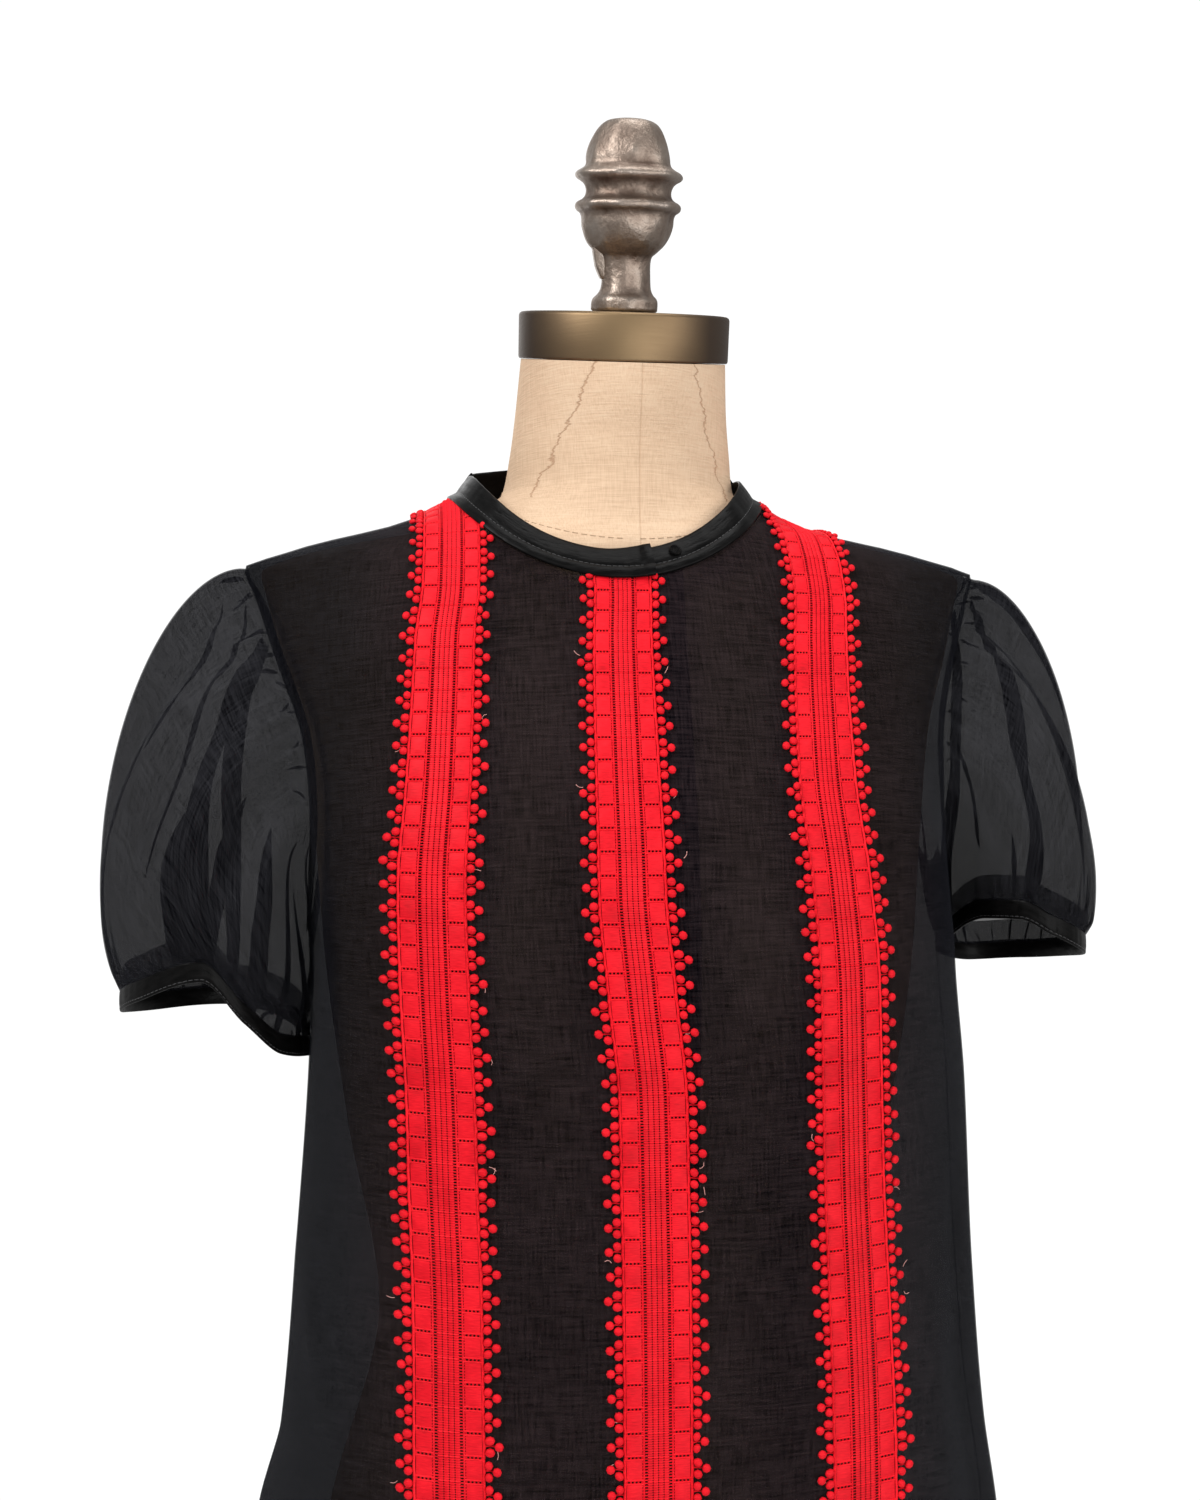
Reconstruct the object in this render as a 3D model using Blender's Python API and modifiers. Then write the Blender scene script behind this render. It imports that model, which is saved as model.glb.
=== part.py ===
"""A sheer lace blouse on a limbless dress form.

Metres, +Z up. The front looks along -Y, and -X is on the left in a front view. The origin is at the
middle of the base's flat underside. Every piece of cloth is a wall of even thickness round a middle
surface, and every middle surface is worked out from the sections and short tables below.
"""

import math

import bmesh
import bpy
import numpy as np
from mathutils import Matrix, Vector

# Walls and clearances
CLOTH_WALL = 0.0010
BAND_WALL = 0.0016
SEAM_GAP = 0.0009
LAYER_GAP = 0.0004
REST_GAP = 0.0003

# The blouse, as heights above the floor
HEM = 0.235
UNDERARM = {-1: 0.612, 1: 0.636}
SHOULDER_TIP = 0.789
NECK_POINT = 0.8245
NECK_DROP = 0.0450
NECK_RISE = 0.0135
ARMHOLE_BITE = {-1: 0.045, 1: 0.042}

# Cells of the panels' grids, and the heights of their rows above the shoulder tip
LOWER_ROWS = 9
ARMHOLE_ROWS = 12
SHOULDER_ROWS = (
    *(0.7920, 0.7950, 0.7985, 0.8020, 0.8060, 0.8100),
    *(0.8140, 0.8180, 0.8225, 0.8300, 0.8400, 0.8600),
)
FRONT_COLUMNS = 22
BACK_COLUMNS = 18
FINE = 160

# The slit beside the middle strip, and the neck opening's cutter
SLIT_FROM = 0.492
SLIT_AT = 0.31
NECK_CUT_STATIONS = 40
NECK_CUT_REACH = 0.030
NECK_CUT_HEIGHTS = (0.772, 0.900)

# The dress form
FORM_SEGMENTS = 40
FORM_CELL = 0.035
FORM_BOTTOM = 0.140
NECK_TOP = 0.8913
NECK_TOP_Y = -0.012
NECK_LEAN = math.radians(14)
LEAN_FROM = 0.840
BUST_OUT = 0.014
BUST_AT = (0.075, 0.600)
BUST_SPREAD = (0.045, 0.050)
CAP_RADIUS = 0.0515
CAP_HEIGHT = 0.0222
BASE_RADIUS = 0.140
BASE_HEIGHT = 0.018
POLE_RADIUS = 0.0125
TURNED_STEPS = 48

# Horizontal sections: front and back are the y of the middle of each side, ridge is the y of the
# widest place, and roundness is the power of the oval
SECTION = ("height", "half_width", "front", "back", "ridge", "roundness", "shift")
FORM_SECTIONS = (
    (0.1400, 0.1460, -0.0880, 0.1060, 0.006, 2.20, 0.0),
    (0.2250, 0.1630, -0.0980, 0.1200, 0.008, 2.20, 0.0),
    (0.3300, 0.1430, -0.0920, 0.1060, 0.006, 2.20, 0.0),
    (0.4300, 0.1190, -0.0860, 0.0820, 0.000, 2.20, 0.0),
    (0.5200, 0.1340, -0.0980, 0.0880, 0.000, 2.20, 0.0),
    (0.6000, 0.1450, -0.1080, 0.0980, 0.000, 2.20, 0.0),
    (0.6600, 0.1500, -0.1040, 0.1040, 0.002, 2.20, 0.0),
    (0.7100, 0.1560, -0.0900, 0.1060, 0.004, 2.20, 0.0),
    (0.7450, 0.1660, -0.0770, 0.1030, 0.006, 2.10, 0.0),
    (0.7750, 0.1740, -0.0630, 0.0930, 0.009, 2.00, 0.0),
    (0.7870, 0.1768, -0.0565, 0.0865, 0.010, 1.90, 0.0),
    (0.7940, 0.1630, -0.0560, 0.0845, 0.011, 1.80, 0.0),
    (0.7990, 0.1450, -0.0550, 0.0810, 0.012, 1.80, 0.0),
    (0.8090, 0.0955, -0.0525, 0.0760, 0.015, 1.85, 0.0),
    (0.8188, 0.0725, -0.0515, 0.0715, 0.017, 2.00, 0.0),
    (0.8280, 0.0585, -0.0512, 0.0665, 0.014, 2.10, 0.0),
    (0.8450, 0.0550, -0.0530, 0.0600, 0.005, 2.10, 0.0),
    (0.8650, 0.0525, -0.0570, 0.0540, -0.001, 2.05, 0.0),
    (0.8913, 0.0502, -0.0620, 0.0380, -0.012, 2.00, 0.0),
)
CLOTH_SECTIONS = (
    (0.2350, 0.1900, -0.1240, 0.1280, 0.004, 2.40, 0.0040),
    (0.3260, 0.1828, -0.1220, 0.1220, 0.004, 2.40, 0.0045),
    (0.3750, 0.1730, -0.1215, 0.1180, 0.004, 2.40, 0.0070),
    (0.4500, 0.1665, -0.1215, 0.1130, 0.003, 2.40, 0.0070),
    (0.5400, 0.1610, -0.1230, 0.1100, 0.002, 2.40, 0.0080),
    (0.6000, 0.1580, -0.1240, 0.1100, 0.002, 2.40, 0.0060),
    (0.6500, 0.1580, -0.1190, 0.1110, 0.003, 2.35, 0.0030),
    (0.7000, 0.1620, -0.1030, 0.1120, 0.004, 2.30, 0.0010),
    (0.7450, 0.1725, -0.0850, 0.1080, 0.006, 2.20, -0.0010),
    (0.7768, 0.1805, -0.0720, 0.0985, 0.009, 2.00, -0.0005),
    (0.7890, 0.1842, -0.0650, 0.0925, 0.010, 1.90, -0.0005),
    (0.7950, 0.1680, -0.0635, 0.0900, 0.011, 1.80, -0.0015),
    (0.8000, 0.1512, -0.0620, 0.0850, 0.012, 1.80, -0.0035),
    (0.8100, 0.1070, -0.0605, 0.0810, 0.015, 1.85, -0.0085),
    (0.8200, 0.0838, -0.0595, 0.0775, 0.017, 2.00, -0.0082),
    (0.8300, 0.0695, -0.0590, 0.0725, 0.014, 2.10, -0.0078),
    (0.8600, 0.0620, -0.0580, 0.0660, 0.005, 2.10, -0.0075),
)

# Soft folds that hang from the bust and the shoulder blades: side of the blouse, place across it
# (-1 to 1) at the hem, how far it drifts towards the top, width, depth at the hem, height of its top
FOLD = ("facing", "across", "drift", "width", "depth", "top")
FOLDS = (
    (-1, -0.76, 0.20, 0.17, 0.0075, 0.520),
    (-1, -0.40, 0.08, 0.15, -0.0035, 0.470),
    (-1, 0.26, -0.04, 0.16, 0.0030, 0.420),
    (-1, 0.76, -0.22, 0.17, 0.0080, 0.560),
    (1, -0.70, 0.16, 0.18, 0.0085, 0.600),
    (1, -0.28, 0.06, 0.17, -0.0045, 0.520),
    (1, 0.10, 0.00, 0.18, 0.0060, 0.560),
    (1, 0.44, -0.08, 0.17, -0.0045, 0.540),
    (1, 0.74, -0.18, 0.18, 0.0085, 0.610),
)

# The middle of each lace strip, as its x at each height, and the strips' width from edge to edge
ROUTE = ("height", "left", "middle", "right", "placket_edge", "reach")
STRIP_ROUTES = (
    (0.225, -0.0835, 0.0010, 0.0945, 0.0180, 0.0460),
    (0.385, -0.0857, 0.0015, 0.0936, 0.0185, 0.0460),
    (0.460, -0.0868, 0.0010, 0.0913, 0.0188, 0.0460),
    (0.510, -0.0887, 0.0000, 0.0891, 0.0192, 0.0460),
    (0.553, -0.0900, -0.0011, 0.0882, 0.0196, 0.0460),
    (0.595, -0.0923, -0.0056, 0.0874, 0.0200, 0.0460),
    (0.640, -0.0936, -0.0095, 0.0846, 0.0202, 0.0455),
    (0.687, -0.0906, -0.0098, 0.0808, 0.0203, 0.0440),
    (0.722, -0.0889, -0.0096, 0.0817, 0.0204, 0.0425),
    (0.750, -0.0877, -0.0090, 0.0836, 0.0205, 0.0415),
    (0.775, -0.0849, -0.0078, 0.0857, 0.0208, 0.0405),
    (0.825, -0.0838, -0.0077, 0.0837, 0.0215, 0.0400),
)

# Sleeves: the cuff's oval in plan, and how the puff leaves the armhole and enters the cuff. A turn
# runs 0 at the underarm, 0.25 at the front, 0.5 at the shoulder and 0.75 at the back
SLEEVE_ROWS = 12
SLEEVE_CUFFS = {
    "left": {"side": -1, "centre": (-0.1985, 0.004), "radii": (0.0405, 0.058)},
    "right": {"side": 1, "centre": (0.2030, 0.004), "radii": (0.0330, 0.058)},
}
CUFF = ("turn", "left", "right")
CUFF_HEIGHTS = (
    (0.000, 0.550, 0.602),
    (0.110, 0.558, 0.612),
    (0.180, 0.575, 0.612),
    (0.250, 0.595, 0.608),
    (0.375, 0.584, 0.600),
    (0.500, 0.573, 0.593),
    (0.625, 0.568, 0.587),
    (0.750, 0.567, 0.584),
    (0.875, 0.560, 0.590),
    (1.000, 0.550, 0.602),
)
PUFF = ("turn", "out", "spread")
PUFF_SHAPE = (
    (0.000, 0.010, 0.002),
    (0.250, 0.036, 0.030),
    (0.500, 0.056, 0.022),
    (0.750, 0.036, 0.030),
    (1.000, 0.010, 0.002),
)
PUFF_HANG = 0.36
PUFF_FOLDS = 6
PUFF_FOLD_DEPTH = 0.0025
CUFF_BAND = 0.010
CUFF_JOIN = 0.0011

# The collar: one open ring, whose over end laps its under end at the front
COLLAR_HEIGHT = 0.0125
COLLAR_COLUMNS = 46
COLLAR_ENDS = {"under": -0.0185, "over": 0.0065}
COLLAR_LAP = BAND_WALL + 0.0005
COLLAR_STEP = 0.0023
COLLAR = ("turn", "lean", "slope")
COLLAR_ANGLES = (
    (0, 34, 80),
    (50, 38, 66),
    (90, 34, 44),
    (120, 24, 62),
    (150, 17, 76),
    (180, 15, 80),
    (210, 17, 76),
    (240, 24, 62),
    (270, 36, 44),
    (310, 38, 66),
    (360, 34, 80),
)
BUTTON_AT = 0.019
BUTTON_RADIUS = 0.0029
BUTTON_THICK = 0.0012

# The finial's profile, as radius and height on its own axis, and the web lug on its left
FINIAL_PROFILE = (
    (0.0000, 0.0897),
    (0.0070, 0.0888),
    (0.0130, 0.0855),
    (0.0175, 0.0795),
    (0.0198, 0.0725),
    (0.0203, 0.0680),
    (0.0222, 0.0662),
    (0.0241, 0.0640),
    (0.0241, 0.0622),
    (0.0218, 0.0598),
    (0.0204, 0.0563),
    (0.0218, 0.0528),
    (0.0241, 0.0503),
    (0.0241, 0.0483),
    (0.0228, 0.0462),
    (0.0222, 0.0400),
    (0.0196, 0.0330),
    (0.0150, 0.0285),
    (0.0118, 0.0262),
    (0.0118, 0.0130),
    (0.0132, 0.0092),
    (0.0160, 0.0068),
    (0.0160, 0.0000),
    (0.0000, 0.0000),
)
LUG_SIZE = (0.0168, 0.0060, 0.0230)
LUG_BOTTOM = 0.0165

# Colour, roughness and metallic value of each material
FINISHES = {
    "sheer_black_cloth": ((0.014, 0.012, 0.013), 0.75, 0.0),
    "red_lace": ((0.62, 0.012, 0.020), 0.60, 0.0),
    "black_leather_cloth": ((0.016, 0.016, 0.017), 0.42, 0.0),
    "linen": ((0.68, 0.49, 0.33), 0.85, 0.0),
    "brushed_brass": ((0.34, 0.23, 0.13), 0.38, 1.0),
    "cast_metal": ((0.26, 0.22, 0.18), 0.45, 1.0),
    "painted_steel": ((0.03, 0.03, 0.032), 0.45, 0.0),
}


def smooth_through(xs, ys, at):
    """A curve without overshoot through the points (xs, ys), read at the values at."""
    xs, ys, at = np.asarray(xs, float), np.asarray(ys, float), np.asarray(at, float)
    steps = np.diff(xs)
    slopes = np.diff(ys) / steps
    before, after = slopes[:-1], slopes[1:]
    same_way = before * after > 0
    total = np.where(same_way, before + after, 1.0)
    inner = np.where(same_way, 2 * before * after / total, 0.0)
    tangents = np.concatenate([slopes[:1], inner, slopes[-1:]])
    cell = np.clip(np.searchsorted(xs, at) - 1, 0, len(steps) - 1)
    step = steps[cell]
    t = np.clip((at - xs[cell]) / step, 0, 1)
    start = ys[cell] * (1 + 2 * t) * (1 - t) ** 2 + tangents[cell] * step * t * (1 - t) ** 2
    end = ys[cell + 1] * t**2 * (3 - 2 * t) + tangents[cell + 1] * step * t**2 * (t - 1)
    return start + end


def read_table(names, rows, name, at):
    """The named column of a table, as a smooth curve over its first column."""
    columns = np.array(rows).T
    return smooth_through(columns[0], columns[names.index(name)], at)


def smooth_step(value, low, high):
    t = np.clip((value - low) / (high - low), 0, 1)
    return t * t * (3 - 2 * t)


def section_at(rows, height):
    return {name: read_table(SECTION, rows, name, height) for name in SECTION[1:]}


def cloth_section(height):
    return section_at(CLOTH_SECTIONS, height)


def fold_depth(across, height, facing):
    """How far the soft folds move the cloth outwards."""
    depth = np.zeros_like(across)
    for fold in FOLDS:
        row = dict(zip(FOLD, fold))
        if row["facing"] != facing:
            continue
        fall = smooth_step(row["top"] - height, 0, row["top"] - HEM)
        middle = row["across"] + row["drift"] * (1 - fall)
        depth += row["depth"] * fall * np.exp(-(((across - middle) / row["width"]) ** 2))
    return depth * (1 - across**2)


def cloth_at(x, height, facing):
    """Points of the cloth's middle surface, on the front where facing is -1, on the back where it is 1."""
    x, height = np.broadcast_arrays(np.asarray(x, float), np.asarray(height, float))
    section = cloth_section(height)
    power = section["roundness"]
    across = np.clip((x - section["shift"]) / section["half_width"], -1, 1)
    depth = (1 - np.abs(across) ** power) ** (1 / power)
    extent = section["front" if facing < 0 else "back"] - section["ridge"]
    y = section["ridge"] + extent * depth
    out_x = np.sign(across) * np.abs(across) ** (power - 1) / section["half_width"]
    out_y = depth ** (power - 1) / extent
    move = fold_depth(across, height, facing) / np.hypot(out_x, out_y)
    return np.stack([x + move * out_x, y + move * out_y, height], axis=-1)


NECK_SECTION = cloth_section(np.array(NECK_POINT))
NECK_RADIUS = float(NECK_SECTION["half_width"])
NECK_CENTRE = float(NECK_SECTION["shift"])


def neckline_height(x, facing):
    """The neckline's height: low at the front, high at the back, and level at the two neck points."""
    level = np.sqrt(np.clip(1 - ((x - NECK_CENTRE) / NECK_RADIUS) ** 2, 0, 1))
    if facing < 0:
        return NECK_POINT - NECK_DROP * level**1.6
    return NECK_POINT + NECK_RISE * level**1.5


def neckline(turn):
    """Points of the neckline: a turn runs from the front over the right side."""
    sin, cos = np.sin(turn), np.cos(turn)
    x = NECK_CENTRE + NECK_RADIUS * sin
    front, back = (cloth_at(x, neckline_height(x, facing), facing) for facing in (-1, 1))
    return np.where(cos[..., None] > 0, front, back), np.stack([sin, -cos, np.zeros_like(sin)], axis=-1)


def armhole_angle(side, facing, heights):
    """The angle round the oval, from its front or back middle, at which a panel's armhole edge lies."""
    up = np.clip((heights - UNDERARM[side]) / (SHOULDER_TIP - UNDERARM[side]), 0, 1)
    bites = ARMHOLE_BITE[facing] * np.sin(np.pi * up**0.75) ** 0.8
    angles = np.linspace(np.pi / 2, np.pi / 6, FINE)
    edge = []
    for height, bite in zip(heights, bites):
        section = cloth_section(np.array(height))
        line = cloth_at(section["shift"] + side * section["half_width"] * np.sin(angles), height, facing)
        length = np.concatenate([[0], np.cumsum(np.linalg.norm(np.diff(line, axis=0), axis=1))])
        edge.append(side * np.interp(bite, length, angles))
    return np.array(edge)


def route_line(name, height, reaches=0.0, aside=0.0):
    """The x of a line beside a strip's middle, by strip reaches and by metres."""
    middle = read_table(ROUTE, STRIP_ROUTES, name, height)
    return middle + reaches * read_table(ROUTE, STRIP_ROUTES, "reach", height) + aside


def evenly(line, count):
    """A line of points, read again at this many points at even lengths along it."""
    length = np.concatenate([[0], np.cumsum(np.linalg.norm(np.diff(line, axis=0), axis=1))])
    at = np.linspace(0, length[-1], count)
    return np.stack([np.interp(at, length, line[:, k]) for k in range(3)], axis=1)


def edge_heights(side):
    """The heights of a panel's rows at one side: hem to underarm, armhole, and shoulder seam."""
    lower = np.linspace(HEM, UNDERARM[side], LOWER_ROWS + 1)
    armhole = np.linspace(UNDERARM[side], SHOULDER_TIP, ARMHOLE_ROWS + 1)
    return np.concatenate([lower, armhole[1:], SHOULDER_ROWS])


def panel_points(facing, columns):
    """A panel's grid of points by column and row, half a seam gap from the other panel.

    Its side edges are the side seam, the armhole and the shoulder seam, one above the other.
    """
    share = np.linspace(0, 1, FINE)
    heights = [edge_heights(side) for side in (-1, 1)]
    angles = [armhole_angle(side, facing, height) for side, height in zip((-1, 1), heights)]
    rows = []
    for low, high, left, right in zip(*heights, *angles):
        height = low * (1 - share) + high * share
        section = cloth_section(height)
        x = section["shift"] + section["half_width"] * np.sin(left * (1 - share) + right * share)
        rows.append(evenly(cloth_at(x, height, facing), columns + 1))
    points = np.stack(rows, axis=1)
    points[..., 1] += facing * SEAM_GAP / 2
    return points


def unit(vectors):
    return vectors / np.linalg.norm(vectors, axis=-1, keepdims=True)


def outward(points, facing):
    """The outward normals, at a panel's points, of the smooth ovals that it follows."""

    def size_through(x, y, height):
        section = cloth_section(height)
        across = (x - section["shift"]) / section["half_width"]
        depth = (y - section["ridge"]) / (section["front" if facing < 0 else "back"] - section["ridge"])
        return np.abs(across) ** section["roundness"] + np.abs(depth) ** section["roundness"]

    steps = np.eye(3)[:, :, None, None] * 0.0001
    at = np.moveaxis(points, -1, 0)
    return unit(np.stack([size_through(*(at + step)) - size_through(*(at - step)) for step in steps], axis=-1))


def finish_material(name, finish):
    colour, roughness, metallic = FINISHES[finish]
    material = bpy.data.materials.new(name)
    material.use_nodes = True
    shader = material.node_tree.nodes["Principled BSDF"]
    shader.inputs["Base Color"].default_value = (*colour, 1)
    shader.inputs["Roughness"].default_value = roughness
    shader.inputs["Metallic"].default_value = metallic
    material.diffuse_color = (*colour, 1)
    return material


def place_object(name, shape, finish, collection):
    """Makes an object from a bmesh, with its own material."""
    mesh = bpy.data.meshes.new(name)
    shape.to_mesh(mesh)
    shape.free()
    mesh.shade_smooth()
    mesh.materials.append(finish_material(name, finish))
    made = bpy.data.objects.new(name, mesh)
    collection.objects.link(made)
    return made


def grid_shape(points, wrapped=False, capped=False):
    """A grid of faces on points by column and row. Wrapped, its last column is sewn to its first."""
    if wrapped:
        points = np.concatenate([points, points[:1]])
    columns, rows = points.shape[0] - 1, points.shape[1] - 1
    shape = bmesh.new()
    bmesh.ops.create_grid(shape, x_segments=columns, y_segments=rows, size=1)
    cells = np.array((columns, rows)) / 2
    at = {vert: np.rint((np.array(vert.co[:2]) + 1) * cells).astype(int) for vert in shape.verts}
    for vert, (column, row) in at.items():
        vert.co = points[column, row]
    bmesh.ops.triangulate(shape, faces=shape.faces[:], quad_method="SHORT_EDGE")
    if wrapped:
        bmesh.ops.remove_doubles(shape, verts=shape.verts[:], dist=1e-6)
    if capped:
        bmesh.ops.holes_fill(shape, edges=[edge for edge in shape.edges if edge.is_boundary])
        bmesh.ops.recalc_face_normals(shape, faces=shape.faces[:])
    return shape


def cloth_wall(name, points, finish, wall=CLOTH_WALL, **grid):
    """A wall of cloth of even thickness round a grid of points."""
    made = place_object(name, grid_shape(points, **grid), finish, BLOUSE)
    thick = made.modifiers.new("Wall", "SOLIDIFY")
    thick.thickness = wall
    thick.offset = 0
    return made


def turned(name, profile, finish, place, steps=TURNED_STEPS):
    """A turned solid: its profile runs from the top of its axis down its outer side."""
    shape = bmesh.new()
    verts = [shape.verts.new((radius, 0, height)) for radius, height in profile]
    for above, below in zip(verts, verts[1:]):
        shape.edges.new((above, below))
    made = place_object(name, shape, finish, BLOUSE)
    turn = made.modifiers.new("Turn", "SCREW")
    turn.steps = turn.render_steps = steps
    turn.use_merge_vertices = True
    turn.merge_threshold = 0.00001
    made.matrix_world = place
    return made


def helper(name, shape):
    """A cutter or guide, which isn't part of the object."""
    made = place_object(name, shape, "linen", HELPERS)
    made.hide_render = True
    made.display_type = "WIRE"
    return made


def combine(made, other, operation):
    step = made.modifiers.new(other.name, "BOOLEAN")
    step.operation = operation
    step.object = other


def make_neck_cutter():
    """Everything above the neckline: a lid through it, level at the front, upright to the shoulders."""
    turn = 2 * np.pi * np.arange(NECK_CUT_STATIONS) / NECK_CUT_STATIONS
    edge, out = neckline(turn)
    low, high = NECK_CUT_HEIGHTS
    inner = edge - out * NECK_CUT_REACH
    outer = edge + out * NECK_CUT_REACH
    inner[:, 2] = low
    outer[:, 2] += NECK_CUT_REACH * np.tan(math.radians(50)) * np.sin(turn) ** 2
    top = outer.copy()
    top[:, 2] = high
    rings = np.stack([inner, edge, outer, top], axis=1)
    return helper("neck_opening", grid_shape(rings, wrapped=True, capped=True))


def make_curtain(name, height, left, right):
    """An upright curtain through the front, between two lines given by their x at each height."""
    near, far = np.full_like(height, -0.16), np.full_like(height, 0.05)
    corners = ((left, near), (right, near), (right, far), (left, far))
    rings = np.stack([np.stack([x, y, height], axis=1) for x, y in corners])
    return helper(name, grid_shape(rings, wrapped=True, capped=True))


def make_panels(neck_cutter):
    """The front with its slit, and the back. Returns their points."""
    front, back = panel_points(-1, FRONT_COLUMNS), panel_points(1, BACK_COLUMNS)
    height = np.linspace(SLIT_FROM, 0.87, 12)
    edges = (route_line("middle", height, SLIT_AT, aside) for aside in (0, SEAM_GAP))
    panel = cloth_wall("blouse_front", front, "sheer_black_cloth")
    combine(panel, neck_cutter, "DIFFERENCE")
    combine(panel, make_curtain("slit", height, *edges), "DIFFERENCE")
    combine(cloth_wall("blouse_back", back, "sheer_black_cloth"), neck_cutter, "DIFFERENCE")
    return front, back


def make_layers(front, neck_cutter):
    """What lies on the front: three lace strips outside it, and the placket's underlap inside it."""
    step = outward(front, -1) * (CLOTH_WALL + LAYER_GAP)
    height = np.linspace(0.22, 0.87, 16)
    for name in ("left", "middle", "right"):
        strip = cloth_wall(f"lace_strip_{name}", front + step, "red_lace")
        edges = (route_line(name, height, reaches) for reaches in (-0.5, 0.5))
        combine(strip, make_curtain(f"{name}_outline", height, *edges), "INTERSECT")
        combine(strip, neck_cutter, "DIFFERENCE")
    height = np.linspace(SLIT_FROM, 0.87, 12)
    edges = (route_line("middle", height), route_line("placket_edge", height))
    placket = cloth_wall("placket_underlap", front - step, "sheer_black_cloth")
    combine(placket, make_curtain("placket_outline", height, *edges), "INTERSECT")
    combine(placket, neck_cutter, "DIFFERENCE")


def armhole_loop(front, back, side):
    """The armhole's points and outward normals, from the underarm up the front and down the back."""
    edge = 0 if side < 0 else -1
    loops = []
    for grid_front, grid_back in ((front, back), (outward(front, -1), outward(back, 1))):
        up = grid_front[edge, LOWER_ROWS : LOWER_ROWS + ARMHOLE_ROWS + 1]
        down = grid_back[edge, LOWER_ROWS : LOWER_ROWS + ARMHOLE_ROWS + 1][::-1]
        loops.append(np.concatenate([up, down[1:-1]]))
    return loops


def cuff_loop(name, turn):
    """The cuff's lower edge, tilted as it hangs."""
    cuff = SLEEVE_CUFFS[name]
    (x, y), (wide, deep) = cuff["centre"], cuff["radii"]
    heights = read_table(CUFF, CUFF_HEIGHTS, name, turn)
    angle = 2 * np.pi * turn
    return np.stack([x - cuff["side"] * wide * np.cos(angle), y - deep * np.sin(angle), heights], axis=1)


def make_sleeve(name, front, back):
    """A puff sleeve from the armhole to its cuff: each station of its round is one curve."""
    side = SLEEVE_CUFFS[name]["side"]
    loop, normals = armhole_loop(front, back, side)
    turn = np.arange(len(loop)) / len(loop)
    top = np.sin(np.pi * turn) ** 2
    start = loop + normals * (CLOTH_WALL + LAYER_GAP)
    leave = unit(np.stack([np.full_like(turn, side), 0.45 * normals[:, 1], -0.2 * top], axis=1))
    cuff = cuff_loop(name, turn)
    end = cuff + (0, 0, CUFF_BAND + CUFF_JOIN)
    radial = unit((end - end.mean(axis=0)) * (1, 1, 0))
    out = read_table(PUFF, PUFF_SHAPE, "out", turn)[:, None]
    spread = read_table(PUFF, PUFF_SHAPE, "spread", turn)[:, None]
    hang = np.array((0, 0, 1)) * (PUFF_HANG * (start - end)[:, 2:])
    pulls = (start, start + leave * out, end + radial * spread + hang, end)
    s = np.linspace(0, 1, SLEEVE_ROWS + 1)[:, None, None]
    weights = ((1 - s) ** 3, 3 * s * (1 - s) ** 2, 3 * s**2 * (1 - s), s**3)
    rows = sum(weight * pull for weight, pull in zip(weights, pulls))
    fold = np.sin(2 * np.pi * PUFF_FOLDS * turn + 2 * np.sin(2 * np.pi * turn)) * np.sqrt(top)
    away = unit(rows - rows.mean(axis=1, keepdims=True))
    rows = rows + away * (PUFF_FOLD_DEPTH * fold[:, None] * np.sin(np.pi * s))
    cloth_wall(f"sleeve_{name}", rows.transpose(1, 0, 2), "sheer_black_cloth", wrapped=True)
    band = np.stack([cuff, cuff + (0, 0, CUFF_BAND)], axis=1)
    cloth_wall(f"cuff_{name}", band, "black_leather_cloth", wall=BAND_WALL, wrapped=True)


def collar_at(turn, up):
    """Points of the collar: a turn runs from the front over the right side, and up is 0 to 1."""
    turn, up = np.broadcast_arrays(turn, up)
    edge, out = neckline(turn)
    degrees = np.degrees(turn) % 360
    lean, slope = (
        np.radians(read_table(COLLAR, COLLAR_ANGLES, name, degrees))[..., None] for name in COLLAR[1:]
    )
    lap = smooth_step(turn, 1.5 * np.pi, 1.86 * np.pi)[..., None] * COLLAR_LAP
    upright = np.array((0, 0, 1))
    base = edge + COLLAR_STEP * (upright * np.sin(slope) - out * np.cos(slope)) + out * lap
    return base + COLLAR_HEIGHT * up[..., None] * (upright * np.cos(lean) - out * np.sin(lean))


def collar_turn(x):
    return math.asin((x - NECK_CENTRE) / NECK_RADIUS)


def make_collar():
    """The narrow band round the neck, and the round button on its lap."""
    first = collar_turn(COLLAR_ENDS["under"])
    last = 2 * math.pi + collar_turn(COLLAR_ENDS["over"])
    turn = np.linspace(first, last, COLLAR_COLUMNS + 1)
    band = collar_at(turn[:, None], np.linspace(0, 1, 3)[None])
    cloth_wall("collar_band", band, "black_leather_cloth", wall=BAND_WALL)
    across = collar_turn(BUTTON_AT) + np.array((0, -0.05, 0.05, 0))
    point, before, after, top = collar_at(across, np.array((0.5, 0.5, 0.5, 1.0)))
    normal = Vector(np.cross(after - before, top - point)).normalized()
    seat = Vector(point) + normal * (BAND_WALL / 2 + REST_GAP)
    place = Matrix.Translation(seat) @ normal.to_track_quat("Z", "Y").to_matrix().to_4x4()
    edge = BUTTON_THICK / 3
    profile = (
        (0, BUTTON_THICK),
        (BUTTON_RADIUS - edge, BUTTON_THICK),
        (BUTTON_RADIUS, BUTTON_THICK - edge),
        (BUTTON_RADIUS, 0),
        (0, 0),
    )
    turned("collar_button", profile, "black_leather_cloth", place, steps=24)


def form_rings():
    """The heights of the form's rings: its sections, with more between those that lie far apart."""
    heights = [row[0] for row in FORM_SECTIONS]
    rings = [heights[:1]]
    for low, high in zip(heights, heights[1:]):
        rings.append(np.linspace(low, high, math.ceil((high - low) / FORM_CELL) + 1)[1:])
    return np.concatenate(rings)


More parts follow.
